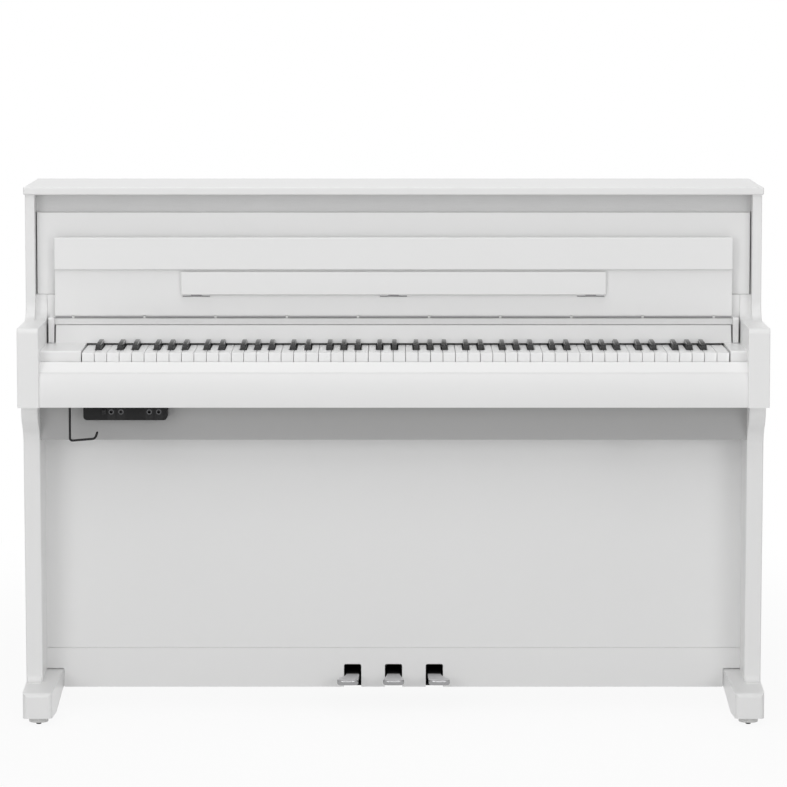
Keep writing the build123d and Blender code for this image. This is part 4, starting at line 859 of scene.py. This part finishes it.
class PianoFelts(Operator):
    """Lay the felt under the nameboard and the felt on the key frame's front rail"""

    bl_idname = "piano.felts"
    bl_label = "Felts"

    def execute(self, context):
        name_low = (KEYBOARD_LEFT + NAME_FELT_INSET, FELT_HIGH.y - NAME_FELT_DEPTH,
                    FELT_HIGH.z - NAME_FELT_HEIGHT)
        name_high = (KEYBOARD_RIGHT - NAME_FELT_INSET, FELT_HIGH.y, FELT_HIGH.z)
        rail_high = (FELT_HIGH.x, FELT_LOW.y + RAIL_FELT_DEPTH, FELT_LOW.z + RAIL_FELT_HEIGHT)
        parts = [slab(name_low, name_high, NAME_FELT_EDGE, NAME_FELT_CORNER),
                 slab(FELT_LOW, rail_high, RAIL_FELT_EDGE, RAIL_FELT_CORNER)]
        felt = finish(pressed_felt, context.scene.piano_cabinet.felt)
        add_piece("pressed_felts", parts, felt, "felt", "cabinet", "felt_strips")
        return {"FINISHED"}


class PianoGrille(Operator):
    """Stretch the speaker cloth under the lid"""

    bl_idname = "piano.grille"
    bl_label = "Speaker cloth"

    def execute(self, context):
        low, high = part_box("speaker_grille")
        board = slab((low.x, low.z, low.y), (high.x, high.z, high.y), CLOTH_EDGE, CLOTH_CORNER)
        cloth = finish(speaker_cloth, context.scene.piano_cabinet.cloth)
        add_piece("stretched_cloth", [upright(board)], cloth, "grille_cloth", "cabinet", "speaker_grille")
        return {"FINISHED"}


def pedal_rings(x, tip, splay, end, top):
    """Pedal head and arm as sections along y.

    The half width grows from the tip like a circle to the head's, and falls with a smooth step to the
    arm's at the neck. The middle moves from splay to zero with the same step. The top rises from the tip
    to the neck by the droop, and the thickness falls from the tip's to the arm's. Each section is a
    superellipse of the section power, and its thickness starts at the tip like a circle.
    """
    turn = quarter(9)[1:]
    nose = PEDAL_BULGE * (1 - np.cos(turn))
    along = np.concatenate([nose, PEDAL_BULGE + (PEDAL_HEAD - PEDAL_BULGE) * np.linspace(0, 1, 17)[1:],
                            [end - tip]])
    narrowing = np.clip((along - PEDAL_BULGE) / (PEDAL_HEAD - PEDAL_BULGE), 0, 1)
    narrowing = narrowing ** 2 * (3 - 2 * narrowing)
    opening = np.sqrt(np.clip(1 - (1 - np.clip(along / PEDAL_BULGE, 0, 1)) ** 2, 0, 1))
    half = (PEDAL_HEAD_HALF + (PEDAL_ARM_HALF - PEDAL_HEAD_HALF) * narrowing) * opening
    reach = np.clip(along / PEDAL_HEAD, 0, 1)
    blunt = (PEDAL_THICKNESS + (PEDAL_ARM_THICKNESS - PEDAL_THICKNESS) * reach) / 2
    crest = top - PEDAL_DROOP * (1 - reach) ** PEDAL_DROOP_POWER
    rounding = 1 - (1 - np.clip(2 * along / PEDAL_THICKNESS, 0, 1)) ** 2
    thick = blunt * np.sqrt(np.clip(rounding, PEDAL_TIP_SHARE, 1))
    angle = whole()
    across = np.sign(np.cos(angle)) * np.abs(np.cos(angle)) ** (2 / PEDAL_SECTION_POWER)
    upward = np.sign(np.sin(angle)) * np.abs(np.sin(angle)) ** (2 / PEDAL_SECTION_POWER)
    middle = x + splay * (1 - narrowing)
    px = middle[:, None] + half[:, None] * across
    pz = (crest - blunt)[:, None] + thick[:, None] * upward
    py = (tip + along)[:, None] + 0 * px
    return np.stack([px, py, pz], -1)[None]


def pedal_barrel(x, y, z):
    """Tube round the pivot rod: a closed rectangle of radii and widths, carried round the x axis."""
    angle = np.linspace(0, 2 * math.pi, BARREL_STEPS)
    radius = np.array([PEDAL_BORE, PEDAL_BARREL, PEDAL_BARREL, PEDAL_BORE])
    width = PEDAL_ARM_HALF * np.array([-1, -1, 1, 1])
    px = x + width + 0 * angle[:, None]
    py = y + radius * np.cos(angle)[:, None]
    pz = z + radius * np.sin(angle)[:, None]
    return np.stack([px, py, pz], -1)[None]


class PianoPedals(Operator):
    """Shape the three plated pedals"""

    bl_idname = "piano.pedals"
    bl_label = "Pedals"

    def execute(self, context):
        chrome = finish(pedal_chrome, context.scene.piano_fittings.chrome)
        for side, splay in (("left", -PEDAL_SPLAY), ("middle", 0.0), ("right", PEDAL_SPLAY)):
            name = f"pedal_{side}"
            x, pivot, height = joint_place(f"{name}_press")
            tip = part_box(name)[0].y
            top = height + PEDAL_THICKNESS / 2
            clear = PEDAL_BARREL - PEDAL_LAP
            tail_low = (x - PEDAL_ARM_HALF, pivot + clear, top - PEDAL_ARM_THICKNESS)
            tail_high = (x + PEDAL_ARM_HALF, pivot + PEDAL_TAIL, top)
            parts = [pedal_rings(x, tip, splay, pivot - clear, top), pedal_barrel(x, pivot, height),
                     slab(tail_low, tail_high, PEDAL_TAIL_EDGE, PEDAL_TAIL_CORNER)]
            add_piece(f"plated_{name}", parts, chrome, "pedal_chrome", name, name)
        return {"FINISHED"}


def rounded_path(corners, reach, steps=7):
    """Path through corners, each replaced by a parabola that starts and ends at reach from it."""
    corners = np.array(corners)
    inner = corners[1:-1]
    before = corners[:-2] - inner
    after = corners[2:] - inner
    before = inner + reach * before / np.linalg.norm(before, axis=1, keepdims=True)
    after = inner + reach * after / np.linalg.norm(after, axis=1, keepdims=True)
    t = np.linspace(0, 1, steps)[None, :, None]
    bends = (1 - t) ** 2 * before[:, None] + 2 * t * (1 - t) * inner[:, None] + t ** 2 * after[:, None]
    return np.concatenate([corners[:1], bends.reshape(-1, 3), corners[-1:]])


def wire_rings(path, radius, sides=20):
    """Round wire along a path in a plane of constant y, with a domed far end.

    Each ring is a circle in the plane of the y axis and the path's own sideways direction. At the far
    end its radius falls like a quarter circle.
    """
    tangent = np.gradient(path, axis=0)
    tangent /= np.linalg.norm(tangent, axis=1, keepdims=True)
    turn = quarter(6)[1:-1]
    dome = path[-1] + radius * np.sin(turn)[:, None] * tangent[-1]
    path = np.concatenate([path, dome])
    tangent = np.concatenate([tangent, np.repeat(tangent[-1:], len(turn), 0)])
    size = np.concatenate([np.full(len(path) - len(turn), radius), radius * np.cos(turn)])
    sideways = np.cross(tangent, [0.0, 1.0, 0.0])
    angle = whole(sides)
    circle = (np.cos(angle)[None, :, None] * np.array([0.0, 1.0, 0.0])
              + np.sin(angle)[None, :, None] * sideways[:, None, :])
    return (path[:, None] + size[:, None, None] * circle)[None]


class PianoHook(Operator):
    """Bend the headphone hook's wire and mount it on its plate"""

    bl_idname = "piano.hook"
    bl_label = "Headphone hook"

    def execute(self, context):
        radius = context.scene.piano_fittings.wire / 2
        x = HOOK_LOW.x + HOOK_PLATE / 2
        y = (HOOK_LOW.y + HOOK_HIGH.y) / 2
        plate_bottom = HOOK_HIGH.z - HOOK_PLATE_THICKNESS
        low, right = HOOK_LOW.z + radius, HOOK_HIGH.x - radius
        corners = [(x, y, plate_bottom + HOOK_LAP), (x, y, low), (right - HOOK_LEAN, y, low + HOOK_RISE),
                   (right, y, low + HOOK_RISE + HOOK_TIP - radius)]
        path = rounded_path(corners, HOOK_BEND)
        plate = slab((HOOK_LOW.x, y - HOOK_PLATE / 2, plate_bottom),
                     (x + HOOK_PLATE / 2, y + HOOK_PLATE / 2, HOOK_HIGH.z),
                     HOOK_PLATE_EDGE, HOOK_PLATE_CORNER)
        coating = finish(moulded_plastic, COATING, 700.0, 0.4, name="wire_coating")
        add_piece("bent_wire_hook", [wire_rings(path, radius), plate], coating, "black_wire", "cabinet",
                  "headphone_hook")
        return {"FINISHED"}


class PianoJackPanel(Operator):
    """Finish the jack box, its sockets and the power button"""

    bl_idname = "piano.jack_panel"
    bl_label = "Jack box"

    def execute(self, context):
        black = context.scene.piano_fittings.plastic
        moulding = finish(moulded_plastic, black, name="black_moulding")
        button = finish(moulded_plastic, shade(black, 1.8), 1600.0, 0.3, name="button_moulding")
        dress(moulding, "jack_box", "pedal_box", "power_inlet")
        dress(button, "power_button")
        dress(finish(socket_nickel, black), "jack_sockets")
        return {"FINISHED"}


class PianoGlides(Operator):
    """Turn the glides under the feet"""

    bl_idname = "piano.glides"
    bl_label = "Glides"

    def execute(self, context):
        xs = (GLIDE_LOW.x + GLIDE_PAD, GLIDE_HIGH.x - GLIDE_PAD)
        ys = (GLIDE_LOW.y + GLIDE_PAD, GLIDE_HIGH.y - GLIDE_PAD)
        places = [(x, y, 0.0) for x in xs for y in ys]
        low, high = GLIDE_LOW.z, GLIDE_HIGH.z
        turn = quarter()
        step = (low + high) / 2 - GLIDE_STEP_DROP
        rise, inset = GLIDE_EDGE * (1 - np.cos(turn)), GLIDE_EDGE * (1 - np.sin(turn))
        pad_radii = np.concatenate([GLIDE_STEP - inset, [GLIDE_STEP], GLIDE_PAD - inset, [GLIDE_PAD]])
        pad_heights = np.concatenate([low + rise, [step], step + rise, [high]])
        pads = turned(pad_radii, pad_heights, places)
        tip_radii = np.concatenate([GLIDE_TIP - inset, [GLIDE_TIP]])
        tips = turned(tip_radii, np.concatenate([rise, [low]]), places)
        colour = context.scene.piano_fittings.glide
        pad_finish = finish(moulded_plastic, colour, 600.0, 0.42, name="glide_moulding")
        add_piece("turned_pads", [pads], pad_finish, "glide_plastic", "cabinet", "glide_pads")
        tip_finish = finish(rubber, TIP_RUBBER, name="tip_rubber")
        add_piece("rubber_tips", [tips], tip_finish, "glide_rubber", "cabinet", "glide_tips")
        return {"FINISHED"}


def screw_rings(places):
    """Pan-head screws that point along y.

    The head's height over its middle falls like a circle towards the rim. Two crossing grooves, deep
    where the lesser of the two distances from the axes is small, sink into it inside the grooves' reach.
    """
    shank = SCREW_HIGH.y - SCREW_LOW.y - SCREW_HEAD_HEIGHT
    turn = quarter(9)[:-1]
    radius = np.concatenate([[SCREW_SHANK, SCREW_SHANK, SCREW_HEAD], SCREW_HEAD * np.cos(turn)])[:, None]
    height = np.concatenate([[-shank, 0, 0], 0.5 * SCREW_HEAD_HEIGHT * (1 + np.sin(turn))])[:, None]
    angle = whole()
    x, z = radius * np.cos(angle), radius * np.sin(angle)
    nearer = np.minimum(np.abs(x), np.abs(z))
    across = np.clip((GROOVE_HALF - nearer) / GROOVE_FLANK, 0, 1)
    groove = across * np.clip((GROOVE_REACH - radius) / GROOVE_FLANK, 0, 1)
    on_top = (np.arange(len(radius)) > 2)[:, None]
    form = np.stack([x, height - GROOVE_DEPTH * groove * on_top, z], -1)
    return np.array(places)[:, None, None, :] + form


class PianoRear(Operator):
    """Finish the rear panel and its screws, and the key bed"""

    bl_idname = "piano.rear"
    bl_label = "Rear panel and screws"

    def execute(self, context):
        dress(finish(painted_board, context.scene.piano_cabinet.board), "back_panel", "key_bed")
        steel = finish(brushed_steel, context.scene.piano_fittings.steel)
        y = SCREW_HIGH.y - SCREW_HEAD_HEIGHT
        side_x = SCREW_HIGH.x - SCREW_HEAD
        rows = np.linspace(SCREW_LOWEST_ROW, SCREW_HIGH.z - SCREW_HEAD, SCREW_ROWS)
        columns = np.linspace(-SCREW_COLUMN_HALF, SCREW_COLUMN_HALF, SCREW_COLUMNS)
        places = [(side * side_x, y, z) for side in (-1, 1) for z in rows]
        places += [(x, y, SCREW_LOW.z + SCREW_HEAD) for x in columns]
        screws = [screw_rings(places)]
        add_piece("pan_head_screws", screws, steel, "hinge_steel", "cabinet", "assembly_screws")
        return {"FINISHED"}


class PianoInsides(Operator):
    """Finish what is inside: key frame, rails, boards, contacts, springs and speakers"""

    bl_idname = "piano.insides"
    bl_label = "Insides"

    def execute(self, context):
        look = context.scene.piano_fittings
        moulding = finish(moulded_plastic, FRAME_PLASTIC, 500.0, 0.55, name="frame_moulding")
        dress(moulding, "key_frame")
        dress(finish(brushed_steel, look.steel), "balance_rail", "pedal_rod", "pedal_springs")
        dress(finish(rubber, CONTACT_RUBBER, name="contact_rubber"), "rubber_contacts")
        dress(finish(circuit_board), "circuit_boards")
        dress(finish(speaker_guard, look.plastic), "speakers")
        return {"FINISHED"}


def studio_world(context):
    """Plain white to the camera and in reflections, softer as the light on the piano."""
    world = bpy.data.worlds.new("studio")
    wire = emptied(world)
    dim = wire.node("Background", None, {"Strength": context.scene.piano_stage.ambient, "Color": WHITE})
    plain = wire.node("Background", None, {"Strength": 1.0, "Color": WHITE})
    lit = wire.node("MixShader", None, {0: seen_directly(wire), 1: dim, 2: plain})
    wire.node("OutputWorld", None, {"Surface": lit})
    context.scene.world = world


def seen_directly(wire):
    """1 for rays from the camera, from reflections and through glass, 0 for the light on surfaces."""
    camera = wire.node("LightPath", out="Is Camera Ray")
    glossy = wire.node("LightPath", out="Is Glossy Ray")
    through = wire.node("LightPath", out="Is Transmission Ray")
    return camera.math("MAXIMUM", glossy).math("MAXIMUM", through)


def floor_finish(colour):
    """Pale floor: plain white to the camera far out, with some of its lit and shaded surface near by."""
    material = bpy.data.materials.new("studio_floor")
    wire = emptied(material)
    place = wire.place()
    mottle = place.noise(1.5, 3)
    far = distance(place.axis("X"), place.axis("Y")).smooth(FLOOR_NEAR, FLOOR_FAR)
    lit = wire.node("BsdfPrincipled", None, {
        "Base Color": mottle.mix(shade(colour, 0.99), shade(colour, 1.01)), "Roughness": 0.9})
    plain = wire.node("Emission", None, {"Color": WHITE, "Strength": 1.0})
    share = FLOOR_WHITE + (1 - FLOOR_WHITE) * far
    shown = wire.node("MixShader", None, {0: seen_directly(wire) * share, 1: lit, 2: plain})
    wire.node("OutputMaterial", None, {"Surface": shown})
    return material


def add_lamp(scene, name, watts, place, size):
    """Large soft lamp that points at the middle of the piano."""
    lamp = bpy.data.lights.new(name, "AREA")
    lamp.shape = "RECTANGLE"
    lamp.size, lamp.size_y = size
    lamp.energy = watts
    holder = bpy.data.objects.new(name, lamp)
    holder.location = place
    aim = LAMP_AIM - holder.location
    holder.rotation_euler = aim.to_track_quat("-Z", "Y").to_euler()
    holder.visible_camera = False
    scene.collection.objects.link(holder)


class PianoStage(Operator):
    """Set up the floor, the light and the camera"""

    bl_idname = "piano.stage"
    bl_label = "Stage"

    def execute(self, context):
        look = context.scene.piano_stage
        scene = context.scene
        scene.view_settings.view_transform = "Standard"
        studio_world(context)

        angle = whole(FLOOR_SIDES)
        disc = FLOOR_RADIUS * np.stack([np.cos(angle), np.sin(angle), 0 * angle], -1)
        mesh = bpy.data.meshes.new("floor")
        mesh.from_pydata(disc, [], [list(range(len(angle)))])
        mesh.materials.append(floor_finish(look.floor))
        floor = bpy.data.objects.new("floor", mesh)
        scene.collection.objects.link(floor)

        add_lamp(scene, "softbox", look.softbox, *SOFTBOX)
        add_lamp(scene, "overhead", look.overhead, *OVERHEAD)
        add_lamp(scene, "fill_left", look.fill / 2, *FILL_LEFT)
        add_lamp(scene, "fill_right", look.fill / 2, *FILL_RIGHT)

        camera = bpy.data.objects.new("camera", bpy.data.cameras.new("camera"))
        camera.data.lens = look.lens
        camera.data.shift_y = look.shift
        camera.data.clip_end = CLIP_END
        camera.location = look.camera_place
        camera.rotation_euler = (math.pi / 2 - look.camera_tilt, 0.0, 0.0)
        scene.collection.objects.link(camera)
        scene.camera = camera
        return {"FINISHED"}


OPERATORS = (PianoBoards, PianoCover, PianoWhiteKeys, PianoBlackKeys, PianoFelts, PianoGrille, PianoPedals,
             PianoHook, PianoJackPanel, PianoGlides, PianoRear, PianoInsides, PianoStage)


class PianoPanel(Panel):
    """Lists the piano's pieces and the stage"""

    bl_idname = "VIEW3D_PT_piano"
    bl_label = "Piano"
    bl_space_type = "VIEW_3D"
    bl_region_type = "UI"
    bl_category = "Piano"

    def draw(self, context):
        for operator in OPERATORS:
            self.layout.operator(operator.bl_idname)


LOOKS = {"piano_cabinet": CabinetLook, "piano_keys": KeyboardLook, "piano_fittings": FittingLook,
         "piano_stage": StageLook}
CLASSES = (*LOOKS.values(), *OPERATORS, PianoPanel)


def register():
    for cls in CLASSES:
        bpy.utils.register_class(cls)
    for name, look in LOOKS.items():
        setattr(bpy.types.Scene, name, PointerProperty(type=look))


def unregister():
    for name in LOOKS:
        delattr(bpy.types.Scene, name)
    for cls in reversed(CLASSES):
        bpy.utils.unregister_class(cls)


def main():
    """Register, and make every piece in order."""
    register()
    for operator in OPERATORS:
        group, name = operator.bl_idname.split(".")
        getattr(getattr(bpy.ops, group), name)()


if __name__ == "__main__":
    main()
